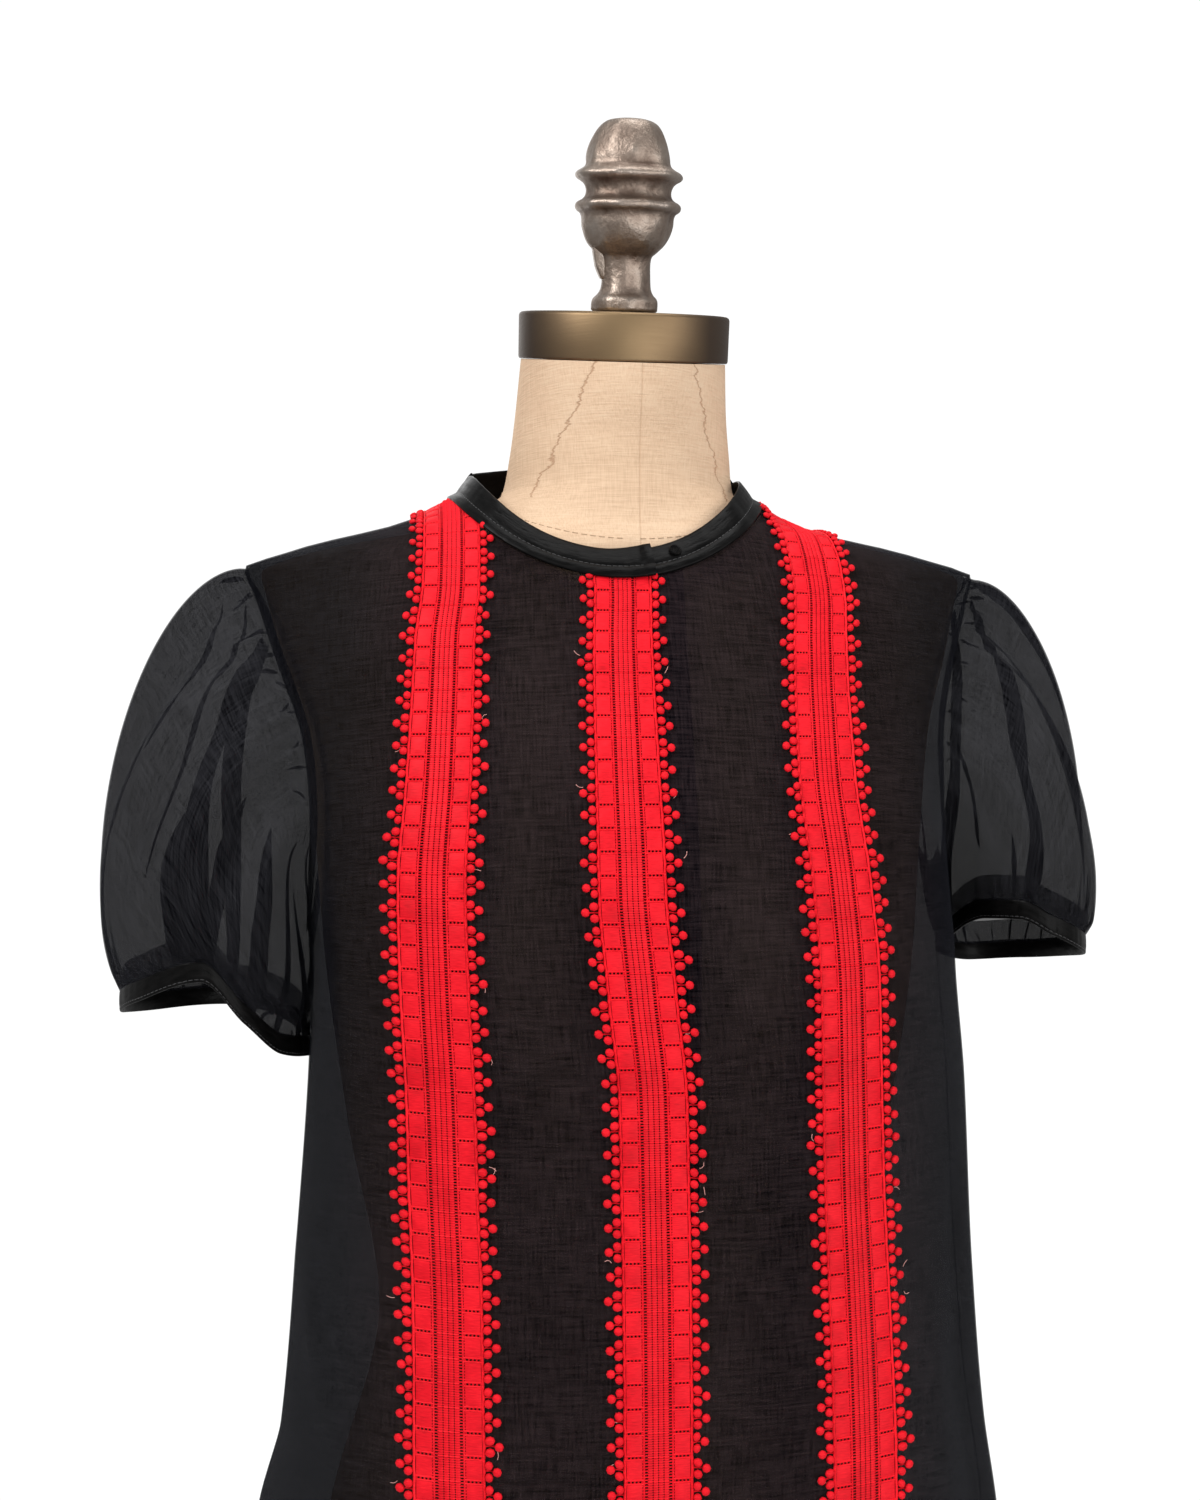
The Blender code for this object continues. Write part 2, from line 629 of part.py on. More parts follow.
def make_form():
    """The linen torso and neck: one closed loft, whose neck leans forward."""
    height = form_rings()[None]
    section = section_at(FORM_SECTIONS, height)
    angle = (2 * np.pi * np.arange(FORM_SEGMENTS) / FORM_SEGMENTS)[:, None]
    sin, cos = np.sin(angle), np.cos(angle)
    x = section["half_width"] * np.sign(sin) * np.abs(sin) ** (2 / section["roundness"])
    extent = np.where(cos > 0, section["front"], section["back"]) - section["ridge"]
    y = section["ridge"] + extent * np.abs(cos) ** (2 / section["roundness"])
    across = (np.abs(x) - BUST_AT[0]) / BUST_SPREAD[0]
    above = (height - BUST_AT[1]) / BUST_SPREAD[1]
    y = y - BUST_OUT * np.exp(-(across**2) - above**2) * np.clip(cos, 0, 1)
    lean = math.tan(NECK_LEAN) * smooth_step(height, LEAN_FROM, NECK_TOP)
    z = height + lean * (y - section["ridge"])
    shape = grid_shape(np.stack([x, y, z], axis=-1), wrapped=True, capped=True)
    place_object("form_torso", shape, "linen", BLOUSE)


def make_neck_cap():
    """The brass cap on the neck. Returns the place of its top."""
    neck = Matrix.Translation((0, NECK_TOP_Y, NECK_TOP)) @ Matrix.Rotation(NECK_LEAN, 4, "X")
    edge = 0.0008
    profile = (
        (0, CAP_HEIGHT),
        (CAP_RADIUS - edge, CAP_HEIGHT),
        (CAP_RADIUS, CAP_HEIGHT - edge),
        (CAP_RADIUS, edge),
        (CAP_RADIUS - edge, 0),
        (0, 0),
    )
    turned("neck_cap", profile, "brushed_brass", neck @ Matrix.Translation((0, 0, REST_GAP)))
    return neck @ Matrix.Translation((0, 0, 2 * REST_GAP + CAP_HEIGHT))


def make_finial(place):
    """The cast finial on the cap, with the web lug on its left side."""
    finial = turned("finial", FINIAL_PROFILE, "cast_metal", place, steps=32)
    reach, thick, tall = LUG_SIZE
    shape = bmesh.new()
    bmesh.ops.create_cube(shape, size=1)
    bmesh.ops.scale(shape, vec=(reach - 0.004, thick, tall), verts=shape.verts)
    middle = (-(reach + 0.004) / 2, 0, LUG_BOTTOM + tall / 2)
    bmesh.ops.translate(shape, vec=middle, verts=shape.verts)
    lug = helper("finial_lug", shape)
    lug.matrix_world = place
    combine(finial, lug, "UNION")


def make_stand():
    """The pole under the torso, and the round base that it stands in."""
    pole_bottom, pole_top = BASE_HEIGHT + REST_GAP, FORM_BOTTOM - REST_GAP
    pole = ((0, pole_top), (POLE_RADIUS, pole_top), (POLE_RADIUS, pole_bottom), (0, pole_bottom))
    turned("stand_pole", pole, "painted_steel", Matrix(), steps=32)
    base = (
        (0, BASE_HEIGHT),
        (0.030, BASE_HEIGHT),
        (0.070, 0.0165),
        (0.110, 0.0125),
        (0.132, 0.0090),
        (0.1385, 0.0060),
        (BASE_RADIUS, 0.0030),
        (BASE_RADIUS, 0),
        (0, 0),
    )
    turned("stand_base", base, "painted_steel", Matrix())


def new_collection(name):
    collection = bpy.data.collections.new(name)
    bpy.context.scene.collection.children.link(collection)
    return collection


for old in list(bpy.data.objects):
    bpy.data.objects.remove(old)
BLOUSE = new_collection("lace_blouse")
HELPERS = new_collection("helpers")

neck_opening = make_neck_cutter()
front_points, back_points = make_panels(neck_opening)
make_layers(front_points, neck_opening)
for sleeve_name in SLEEVE_CUFFS:
    make_sleeve(sleeve_name, front_points, back_points)
make_collar()
make_form()
make_finial(make_neck_cap())
make_stand()
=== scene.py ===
# %% [markdown]
# # A lace blouse on a dress form
#
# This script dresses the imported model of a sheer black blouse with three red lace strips, which hangs
# on a linen dress form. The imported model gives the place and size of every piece. Each piece is made
# again here with its folds, threads and finish, on the same surfaces as its solid.

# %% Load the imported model
import math

import bmesh
import bpy
import numpy as np
from mathutils import Matrix, Vector


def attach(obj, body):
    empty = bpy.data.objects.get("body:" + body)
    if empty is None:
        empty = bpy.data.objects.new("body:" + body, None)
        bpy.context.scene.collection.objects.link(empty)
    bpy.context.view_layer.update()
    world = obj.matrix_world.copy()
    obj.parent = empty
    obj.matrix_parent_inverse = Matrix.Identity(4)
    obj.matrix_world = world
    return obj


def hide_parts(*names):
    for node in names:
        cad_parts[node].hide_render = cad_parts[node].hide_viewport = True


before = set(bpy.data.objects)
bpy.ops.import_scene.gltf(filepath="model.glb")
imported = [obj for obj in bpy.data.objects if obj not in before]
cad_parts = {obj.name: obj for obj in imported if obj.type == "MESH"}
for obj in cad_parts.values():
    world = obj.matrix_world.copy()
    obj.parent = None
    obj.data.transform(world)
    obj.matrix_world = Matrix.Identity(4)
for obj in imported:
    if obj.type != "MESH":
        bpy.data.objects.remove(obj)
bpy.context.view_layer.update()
scene = bpy.context.scene

# %% [markdown]
# ## Camera, floor and light
#
# The photograph was taken close up, level with the bust, from a little to the left of the middle.
# Its focal length is worked out in pixels, so the camera's lens follows from the picture's long side.
# One large soft light stands on each side. The room's light is white, and the world shows brighter to
# the camera than it shines, so that the background is white while folds keep their shade.

# %% Camera, floor and lights
PHOTO_SIZE = (1200, 1500)
FOCAL_PIXELS = 1600
FORM_OFF_MIDDLE = 20
SENSOR_WIDTH = 36
EYE_DISTANCE = 0.80
EYE_HEIGHT = 0.70
EYE_TURN = math.radians(-7)
LIGHTS_AIM = (0, 0, 0.65)

camera_data = bpy.data.cameras.new("camera")
camera_data.sensor_width = SENSOR_WIDTH
camera_data.lens = SENSOR_WIDTH * FOCAL_PIXELS / max(PHOTO_SIZE)
camera_data.shift_x = -FORM_OFF_MIDDLE / max(PHOTO_SIZE)
camera = bpy.data.objects.new("camera", camera_data)
camera.location = (EYE_DISTANCE * math.sin(EYE_TURN), -EYE_DISTANCE * math.cos(EYE_TURN), EYE_HEIGHT)
camera.rotation_euler = (math.pi / 2, 0, EYE_TURN)
scene.collection.objects.link(camera)
scene.camera = camera
scene.view_settings.view_transform = "Standard"

LIGHTS = {
    "key": {"place": (-1.5, -1.1, 1.9), "size": 0.9, "power": 36},
    "fill": {"place": (1.7, -1.5, 1.2), "size": 1.6, "power": 15},
    "low": {"place": (0.7, -2.0, 0.25), "size": 1.6, "power": 19},
    "top": {"place": (0.2, -0.2, 2.6), "size": 1.2, "power": 16},
    "back": {"place": (-0.4, 2.0, 1.4), "size": 1.8, "power": 12},
}
for light_name, light in LIGHTS.items():
    data = bpy.data.lights.new(light_name, "AREA")
    data.shape, data.size, data.energy = "DISK", light["size"], light["power"]
    lamp = bpy.data.objects.new(light_name, data)
    lamp.location = light["place"]
    aim = Vector(LIGHTS_AIM) - lamp.location
    lamp.rotation_euler = aim.to_track_quat("-Z", "Y").to_euler()
    scene.collection.objects.link(lamp)

world = bpy.data.worlds.new("studio")
scene.world = world
world.use_nodes = True
sky = world.node_tree.nodes["Background"]
sky.inputs["Color"].default_value = (1, 1, 1, 1)
rays = world.node_tree.nodes.new("ShaderNodeLightPath")
strength = world.node_tree.nodes.new("ShaderNodeMapRange")
strength.inputs["To Min"].default_value = 0.36
strength.inputs["To Max"].default_value = 1.05
world.node_tree.links.new(rays.outputs["Is Camera Ray"], strength.inputs["Value"])
world.node_tree.links.new(strength.outputs["Result"], sky.inputs["Strength"])

shape = bmesh.new()
bmesh.ops.create_circle(shape, cap_ends=True, segments=96, radius=0.6)
floor_mesh = bpy.data.meshes.new("floor")
shape.to_mesh(floor_mesh)
floor = bpy.data.objects.new("floor", floor_mesh)
scene.collection.objects.link(floor)
print("camera lens", round(camera_data.lens, 2), "mm;", len(LIGHTS), "lights")

# %% [markdown]
# ## A short way to write materials
#
# A material is a tree of nodes. `Finish` keeps the tree, adds a node with its values by name, and
# joins it to what it reads. A value that is the same all over a surface is set on the shader itself.


# %% Helper for materials
class Finish:
    """A material with one Principled shader, which gets its nodes one by one."""

    def __init__(self, name, **shader_values):
        self.material = bpy.data.materials.new(name)
        self.material.use_nodes = True
        self.tree = self.material.node_tree
        self.shader = self.tree.nodes["Principled BSDF"]
        self.set(self.shader, shader_values)

    def set(self, node, values):
        """Gives sockets a value, or joins them to what they read. An underscore is a space."""
        for name, value in values.items():
            socket = node.inputs[name.replace("_", " ") if isinstance(name, str) else name]
            if isinstance(value, bpy.types.NodeSocket):
                self.tree.links.new(value, socket)
            else:
                socket.default_value = value

    def dressed(self, **values):
        """The material, once its shader's last values are set."""
        self.set(self.shader, values)
        return self.material

    def add(self, kind, output=0, settings=None, inputs=None, **values):
        """Adds a node and returns one of its outputs. Inputs go by number, and values by name."""
        node = self.tree.nodes.new("ShaderNode" + kind)
        for name, value in (settings or {}).items():
            setattr(node, name, value)
        self.set(node, {**(inputs or {}), **values})
        return node.outputs[output]

    def math(self, operation, *numbers):
        return self.add("Math", settings={"operation": operation}, inputs=dict(enumerate(numbers)))

    def weigh(self, *pairs):
        """The sum of values, each times its weight."""
        first, *others = (self.math("MULTIPLY", value, weight) for value, weight in pairs)
        for other in others:
            first = self.math("ADD", first, other)
        return first

    def axes(self, place):
        """The x, y and z of a place."""
        return self.add("SeparateXYZ", Vector=place).node.outputs[:]

    def near(self, value, at, reach, inner=0.0):
        """1 where a value is at its mark, fading to 0 at a reach from it."""
        off = self.math("ABSOLUTE", self.math("SUBTRACT", value, at))
        fade = {"Value": off, "From_Min": inner, "From_Max": reach, "To_Min": 1.0, "To_Max": 0.0}
        return self.add("MapRange", settings={"interpolation_type": "SMOOTHSTEP"}, **fade)

    def mixed(self, factor, low, high, blend="MIX"):
        settings = {"data_type": "RGBA", "blend_type": blend}
        return self.add("Mix", output=2, settings=settings, inputs={0: factor, 6: low, 7: high})

    def ramp(self, factor, *stops):
        """A colour ramp: each stop is a position and a colour or a grey."""
        colour = self.add("ValToRGB", Fac=factor)
        elements = colour.node.color_ramp.elements
        while len(elements) < len(stops):
            elements.new(0.5)
        for element, (position, tone) in zip(elements, stops):
            element.position = position
            element.color = (*(tone if isinstance(tone, tuple) else (tone,) * 3), 1)
        return colour

    def stretched(self, place, scale, detail=2.0, roughness=0.5):
        """Noise on a place that is stretched by three scales."""
        moved = self.add("Mapping", Vector=place, Scale=scale)
        return self.add("TexNoise", Vector=moved, Scale=1.0, Detail=detail, Roughness=roughness)

    def bump(self, height, distance, strength=1.0, under=None):
        values = {"Height": height, "Distance": distance, "Strength": strength}
        if under is not None:
            values["Normal"] = under
        return self.add("Bump", **values)


print("finish helper ready")

# %% [markdown]
# ## The cloth
#
# Sheer black voile lets about a tenth of the light through one layer. A shell has two faces, so each
# face is a little over two thirds opaque. The fine plain weave is a bump along the cloth's own UV map,
# whose unit is the metre: noise that is long along the warp, and noise that is long along the weft,
# make the slubs.

# %% Materials of the blouse
PANEL_ALPHA = 0.69
SLEEVE_ALPHA = 0.62
FOLD_ALPHA = 0.93
CRINKLES = (45, 420, 1)
LEATHER_CREASES = (120, 420, 1)
PAINTED_LINEN_GLOW = {"at": 0.003, "inner": 0.100, "reach": 0.146}


def woven(finish, pitch, slub):
    """The cloth's UV map in metres, and the heights of its warp and its weft with their slubs."""
    cloth = finish.add("UVMap", settings={"uv_map": "UVMap"})
    warp = finish.stretched(cloth, (1 / pitch, 1 / slub, 1), detail=1)
    weft = finish.stretched(cloth, (1 / slub, 1 / pitch, 1), detail=1)
    return cloth, warp, weft


def make_voile(name, alpha, thin, dense, painted_glow=None):
    """Sheer cloth: its thin and dense threads' colours, and a painted glow of the linen over its middle."""
    sheen = {"Sheen_Weight": 0.02, "Sheen_Roughness": 0.4, "Sheen_Tint": (0.6, 0.65, 0.85, 1)}
    finish = Finish(name, Roughness=0.8, Alpha=alpha, Specular_IOR_Level=0.03, **sheen)
    cloth, warp, weft = woven(finish, pitch=0.0009, slub=0.014)
    threads = finish.math("ADD", warp, weft)
    patches = finish.add("TexNoise", Vector=cloth, Scale=14.0, Detail=4.0)
    crinkle = finish.math("SUBTRACT", finish.stretched(cloth, CRINKLES, detail=4), 0.5)
    tone = finish.weigh((threads, 0.38), (patches, 0.24), (crinkle, 0.25))
    colour = finish.ramp(tone, (0.36, dense), (0.66, thin))
    # Over the middle of the body the colour is multiplied by a warm tint: a painted glow of the linen behind
    # the cloth. The darker colour left at the sides is painted shade.
    if painted_glow:
        x = finish.axes(finish.add("TexCoord", output="Object"))[0]
        colour = finish.mixed(finish.near(x, **PAINTED_LINEN_GLOW), colour, painted_glow, blend="MULTIPLY")
    weave = finish.bump(threads, 0.0003, 0.5)
    return finish.dressed(Base_Color=colour, Normal=finish.bump(crinkle, 0.0004, 0.4, weave))


def make_lace_thread():
    sheen = {"Sheen_Weight": 0.06, "Sheen_Roughness": 0.35, "Sheen_Tint": (1.0, 0.2, 0.2, 1)}
    finish = Finish("red_lace", Roughness=0.6, Specular_IOR_Level=0.16, **sheen)
    cloth, _, weft = woven(finish, pitch=0.00045, slub=0.004)
    patches = finish.add("TexNoise", Vector=cloth, Scale=60.0, Detail=3.0)
    # The tone attribute holds each part's paleness, and on the ribbed middle painted rib light and shade.
    part_tone_and_rib_shade = finish.add("Attribute", output="Fac", settings={"attribute_name": "tone"})
    tone = finish.weigh((weft, 0.35), (patches, 0.35), (part_tone_and_rib_shade, 0.30))
    reds = ((0.26, (0.38, 0.001, 0.005)), (0.44, (0.66, 0.003, 0.012)), (0.62, (0.88, 0.010, 0.021)))
    return finish.dressed(Base_Color=finish.ramp(tone, *reds), Normal=finish.bump(weft, 0.0002, 0.6))


def make_leather_cloth():
    finish = Finish("black_leather_cloth", Specular_IOR_Level=0.07)
    cloth = finish.add("UVMap", settings={"uv_map": "UVMap"})
    grain = finish.add("TexVoronoi", Vector=cloth, Scale=900.0, settings={"feature": "DISTANCE_TO_EDGE"})
    creases = finish.stretched(cloth, LEATHER_CREASES, detail=4)
    return finish.dressed(
        Base_Color=finish.ramp(creases, (0.3, (0.002, 0.002, 0.002)), (0.75, (0.006, 0.0057, 0.0057))),
        Roughness=finish.ramp(creases, (0.3, 0.28), (0.7, 0.42)),
        Normal=finish.bump(creases, 0.0006, 0.5, finish.bump(grain, 0.0001, 0.25)),
    )


def make_thread(name, colour, roughness, **values):
    """Plain sewing thread, the same all over."""
    return Finish(name, Base_Color=(*colour, 1), Roughness=roughness, **values).material


# The body's copy of the voile: a dark colour, which is painted shade at the sides, with the painted linen glow
# over its middle.
VOILE = make_voile(
    "sheer_black_cloth", PANEL_ALPHA, (0.0110, 0.0110, 0.0140), (0.0005, 0.0005, 0.0015), (2.2, 1.45, 1.3, 1)
)
# The sleeves' copy of the same voile is lighter in colour than the body's: painted light.
LIT_SLEEVE_VOILE = make_voile("sheer_black_sleeve_painted_light", SLEEVE_ALPHA, (0.026, 0.026, 0.030), (0.001, 0.001, 0.002))
# The folds' copy of the voile is denser, and its darker colour is painted shade.
SHADED_FOLD_VOILE = make_voile("sheer_black_fold_painted_shade", FOLD_ALPHA, (0.004, 0.004, 0.007), (0.001, 0.001, 0.002))
LACE_THREAD = make_lace_thread()
LEATHER_CLOTH = make_leather_cloth()
BLACK_THREAD = make_thread("black_thread", (0.03, 0.03, 0.032), 0.45, Sheen_Weight=0.2)
PALE_THREAD = make_thread("pale_thread", (0.72, 0.34, 0.30), 0.6, Sheen_Weight=0.3)
print("cloth materials:", VOILE.name, LACE_THREAD.name, LEATHER_CLOTH.name, BLACK_THREAD.name)

# %% [markdown]
# ## The surfaces
#
# The blouse is an oval at each height. Short tables give the ovals' sizes, as they do in the solid
# model, and a curve without overshoot runs through their rows. A point of the cloth is then found
# from its x and its height. Soft folds hang from the bust and the shoulder blades.

# %% Tables of the blouse's surface
HEM = 0.235
UNDERARM = {-1: 0.612, 1: 0.636}
SHOULDER_TIP = 0.789
NECK_POINT = 0.8245
NECK_DROP = 0.0450
NECK_RISE = 0.0135
ARMHOLE_BITE = {-1: 0.045, 1: 0.042}
SECTION = ("height", "half_width", "front", "back", "ridge", "roundness", "shift")
CLOTH_SECTIONS = (
    (0.2350, 0.1900, -0.1240, 0.1280, 0.004, 2.40, 0.0040),
    (0.3260, 0.1828, -0.1220, 0.1220, 0.004, 2.40, 0.0045),
    (0.3750, 0.1730, -0.1215, 0.1180, 0.004, 2.40, 0.0070),
    (0.4500, 0.1665, -0.1215, 0.1130, 0.003, 2.40, 0.0070),
    (0.5400, 0.1610, -0.1230, 0.1100, 0.002, 2.40, 0.0080),
    (0.6000, 0.1580, -0.1240, 0.1100, 0.002, 2.40, 0.0060),
    (0.6500, 0.1580, -0.1190, 0.1110, 0.003, 2.35, 0.0030),
    (0.7000, 0.1620, -0.1030, 0.1120, 0.004, 2.30, 0.0010),
    (0.7450, 0.1725, -0.0850, 0.1080, 0.006, 2.20, -0.0010),
    (0.7768, 0.1805, -0.0720, 0.0985, 0.009, 2.00, -0.0005),
    (0.7890, 0.1842, -0.0650, 0.0925, 0.010, 1.90, -0.0005),
    (0.7950, 0.1680, -0.0635, 0.0900, 0.011, 1.80, -0.0015),
    (0.8000, 0.1512, -0.0620, 0.0850, 0.012, 1.80, -0.0035),
    (0.8100, 0.1070, -0.0605, 0.0810, 0.015, 1.85, -0.0085),
    (0.8200, 0.0838, -0.0595, 0.0775, 0.017, 2.00, -0.0082),
    (0.8300, 0.0695, -0.0590, 0.0725, 0.014, 2.10, -0.0078),
    (0.8600, 0.0620, -0.0580, 0.0660, 0.005, 2.10, -0.0075),
)
FOLD = ("facing", "across", "drift", "width", "depth", "top")
FOLDS = (
    (-1, -0.76, 0.20, 0.17, 0.0075, 0.520),
    (-1, -0.40, 0.08, 0.15, -0.0035, 0.470),
    (-1, 0.26, -0.04, 0.16, 0.0030, 0.420),
    (-1, 0.76, -0.22, 0.17, 0.0080, 0.560),
    (1, -0.70, 0.16, 0.18, 0.0085, 0.600),
    (1, -0.28, 0.06, 0.17, -0.0045, 0.520),
    (1, 0.10, 0.00, 0.18, 0.0060, 0.560),
    (1, 0.44, -0.08, 0.17, -0.0045, 0.540),
    (1, 0.74, -0.18, 0.18, 0.0085, 0.610),
)

print(len(CLOTH_SECTIONS), "sections and", len(FOLDS), "soft folds of the blouse")


# %% Curves and surfaces
def smooth_through(xs, ys, at):
    """A curve without overshoot through the points (xs, ys), read at the values at."""
    xs, ys, at = np.asarray(xs, float), np.asarray(ys, float), np.asarray(at, float)
    steps = np.diff(xs)
    slopes = np.diff(ys) / steps
    before, after = slopes[:-1], slopes[1:]
    same_way = before * after > 0
    inner = np.where(same_way, 2 * before * after / np.where(same_way, before + after, 1.0), 0.0)
    tangents = np.concatenate([slopes[:1], inner, slopes[-1:]])
    cell = np.clip(np.searchsorted(xs, at) - 1, 0, len(steps) - 1)
    step = steps[cell]
    t = np.clip((at - xs[cell]) / step, 0, 1)
    start = ys[cell] * (1 + 2 * t) * (1 - t) ** 2 + tangents[cell] * step * t * (1 - t) ** 2
    end = ys[cell + 1] * t**2 * (3 - 2 * t) + tangents[cell + 1] * step * t**2 * (t - 1)
    return start + end


def read_table(names, rows, name, at):
    """The named column of a table, as a smooth curve over its first column."""
    columns = np.array(rows).T
    return smooth_through(columns[0], columns[names.index(name)], at)


def named(names, rows):
    """Each row of a table, by the names of its columns."""
    return [dict(zip(names, row)) for row in rows]


def smooth_step(value, low, high):
    t = np.clip((value - low) / (high - low), 0, 1)
    return t * t * (3 - 2 * t)


def section_at(rows, height):
    return {name: read_table(SECTION, rows, name, height) for name in SECTION[1:]}


def unit(vectors):
    return vectors / np.maximum(np.linalg.norm(vectors, axis=-1, keepdims=True), 1e-12)


def fold_depth(across, height, facing):
    """How far the soft folds move the cloth outwards."""
    depth = np.zeros_like(across)
    for row in named(FOLD, FOLDS):
        if row["facing"] == facing:
            fall = smooth_step(row["top"] - height, 0, row["top"] - HEM)
            middle = row["across"] + row["drift"] * (1 - fall)
            depth += row["depth"] * fall * np.exp(-(((across - middle) / row["width"]) ** 2))
    return depth * (1 - across**2)


def cloth_at(x, height, facing):
    """Points of the cloth's smooth middle surface: facing is -1 on the front and 1 on the back."""
    x, height = np.broadcast_arrays(np.asarray(x, float), np.asarray(height, float))
    section = section_at(CLOTH_SECTIONS, height)
    power = section["roundness"]
    across = np.clip((x - section["shift"]) / section["half_width"], -1, 1)
    depth = (1 - np.abs(across) ** power) ** (1 / power)
    extent = section["front" if facing < 0 else "back"] - section["ridge"]
    out_x = np.sign(across) * np.abs(across) ** (power - 1) / section["half_width"]
    out_y = depth ** (power - 1) / extent
    move = fold_depth(across, height, facing) / np.hypot(out_x, out_y)
    y = section["ridge"] + extent * depth
    return np.stack([x + move * out_x, y + move * out_y, height], axis=-1)


def outward(points, facing):
    """The outward normals of the smooth ovals, at points that lie on them."""

    def size_through(x, y, height):
        section = section_at(CLOTH_SECTIONS, height)
        across = (x - section["shift"]) / section["half_width"]
        depth = (y - section["ridge"]) / (section["front" if facing < 0 else "back"] - section["ridge"])
        return np.abs(across) ** section["roundness"] + np.abs(depth) ** section["roundness"]

    at = np.moveaxis(points, -1, 0)
    steps = np.eye(3).reshape((3, 3) + (1,) * (points.ndim - 1)) * 0.0001
    return unit(np.stack([size_through(*(at + step)) - size_through(*(at - step)) for step in steps], axis=-1))


neck_section = section_at(CLOTH_SECTIONS, np.array(NECK_POINT))
NECK_RADIUS = float(neck_section["half_width"])
NECK_CENTRE = float(neck_section["shift"])


def neckline_height(x, facing):
    """The neckline's height: low at the front, high at the back, and level at the two neck points."""
    level = np.sqrt(np.clip(1 - ((x - NECK_CENTRE) / NECK_RADIUS) ** 2, 0, 1))
    if facing < 0:
        return NECK_POINT - NECK_DROP * level**1.6
    return NECK_POINT + NECK_RISE * level**1.5


print("neck opening", round(2 * NECK_RADIUS, 4), "m wide")

# %% [markdown]
# ## Creases
#
# Cloth that hangs still has soft creases of uneven length and depth. Each is a line on the piece,
# from one end to the other, with a rounded ridge or trough along it that fades out at both ends. The
# tables list them one by one: drag lines from the bust and the armholes, and slack at the waist.

# %% Creases of the front and the back
CREASE_SCALE = 1.5
CREASE = ("facing", "from_x", "from_z", "to_x", "to_z", "width", "depth")
CREASES = (
    (-1, -0.148, 0.615, -0.112, 0.660, 0.0070, 0.0016),
    (-1, -0.152, 0.630, -0.118, 0.700, 0.0060, -0.0012),
    (-1, -0.150, 0.600, -0.125, 0.610, 0.0060, 0.0014),
    (-1, 0.150, 0.640, 0.118, 0.680, 0.0070, 0.0016),
    (-1, 0.154, 0.655, 0.128, 0.725, 0.0055, -0.0012),
    (-1, -0.150, 0.470, -0.110, 0.330, 0.0090, 0.0030),
    (-1, -0.132, 0.440, -0.086, 0.240, 0.0100, -0.0024),
    (-1, -0.060, 0.420, -0.045, 0.236, 0.0120, 0.0018),
    (-1, 0.050, 0.400, 0.060, 0.236, 0.0110, 0.0020),
    (-1, 0.128, 0.480, 0.150, 0.236, 0.0100, 0.0030),
    (-1, 0.148, 0.520, 0.168, 0.300, 0.0080, -0.0022),
    (-1, 0.030, 0.560, 0.045, 0.440, 0.0100, 0.0010),
    (-1, -0.050, 0.580, -0.040, 0.470, 0.0100, -0.0009),
    (1, -0.140, 0.640, -0.090, 0.690, 0.0080, 0.0018),
    (1, -0.150, 0.600, -0.100, 0.560, 0.0090, -0.0018),
    (1, 0.145, 0.650, 0.100, 0.705, 0.0080, 0.0018),
    (1, 0.140, 0.590, 0.095, 0.540, 0.0100, 0.0020),
    (1, -0.120, 0.500, -0.080, 0.240, 0.0120, 0.0028),
    (1, -0.030, 0.520, -0.020, 0.236, 0.0130, -0.0022),
    (1, 0.060, 0.480, 0.075, 0.236, 0.0110, 0.0026),
    (1, 0.120, 0.530, 0.140, 0.240, 0.0100, -0.0024),
    (1, -0.060, 0.760, 0.050, 0.752, 0.0080, 0.0010),
    (1, -0.040, 0.738, 0.070, 0.728, 0.0090, -0.0010),
)


def crease_depth(x, height, facing):
    """How far the creases move the cloth outwards at an x and a height."""
    depth = np.zeros(np.broadcast(x, height).shape)
    for row in named(CREASE, CREASES):
        if row["facing"] != facing:
            continue
        start = np.array((row["from_x"], row["from_z"]))
        run = np.array((row["to_x"], row["to_z"])) - start
        length = np.linalg.norm(run)
        along = ((x - start[0]) * run[0] + (height - start[1]) * run[1]) / length**2
        aside = ((x - start[0]) * run[1] - (height - start[1]) * run[0]) / length
        bow = 0.12 * length * np.clip(along * (1 - along), 0, 1)
        fade = np.sin(np.pi * np.clip(along, 0, 1)) ** 0.8
        width = row["width"] * (0.7 + 0.6 * np.clip(along, 0, 1))
        depth += CREASE_SCALE * row["depth"] * fade * np.exp(-(((aside - bow) / width) ** 2))
    return depth


def panel_at(x, height, facing, off=0.0):
    """Points of the creased cloth, moved off it by a distance, and their normals."""
    points = cloth_at(x, height, facing)
    normals = outward(points, facing)
    move = crease_depth(np.asarray(x), np.asarray(height), facing) + off
    return points + normals * move[..., None], normals


print(len(CREASES), "creases on the front and the back")

# %% [markdown]
# ## From a grid of points to a shell
#
# Each cloth piece starts from `bmesh.ops.create_grid`, whose corners are moved onto the worked-out
# points. The UV map gets the lengths along the cloth in metres, so the weave keeps its size. A
# Solidify modifier gives the cloth its thickness, and it is applied so that the rim can stay sharp.

# %% Sizes of the cloth
CLOTH_THICK = 0.0005
DOUBLES = 1e-6
RIM_ANGLE = 50

print("cloth", CLOTH_THICK, "m thick")


# %% Helpers for meshes
def lengths_along(points, axis):
    steps = np.linalg.norm(np.diff(points, axis=axis), axis=-1)
    start = np.zeros_like(np.take(steps, [0], axis=axis))
    return np.cumsum(np.concatenate([start, steps], axis=axis), axis=axis)


def shape_of(*meshes):
    """A bmesh with the faces of some meshes."""
    shape = bmesh.new()
    for mesh in meshes:
        shape.from_mesh(mesh)
    shape.verts.ensure_lookup_table()
    return shape


def finished(shape, mesh):
    """Ends a bmesh as a mesh, or as a new one of a given name."""
    if isinstance(mesh, str):
        mesh = bpy.data.meshes.new(mesh)
    shape.to_mesh(mesh)
    shape.free()
    return mesh


def joined(name, meshes):
    """One new mesh, which takes the place of several."""
    whole = finished(shape_of(*meshes), name)
    for mesh in meshes:
        bpy.data.meshes.remove(mesh)
    return whole


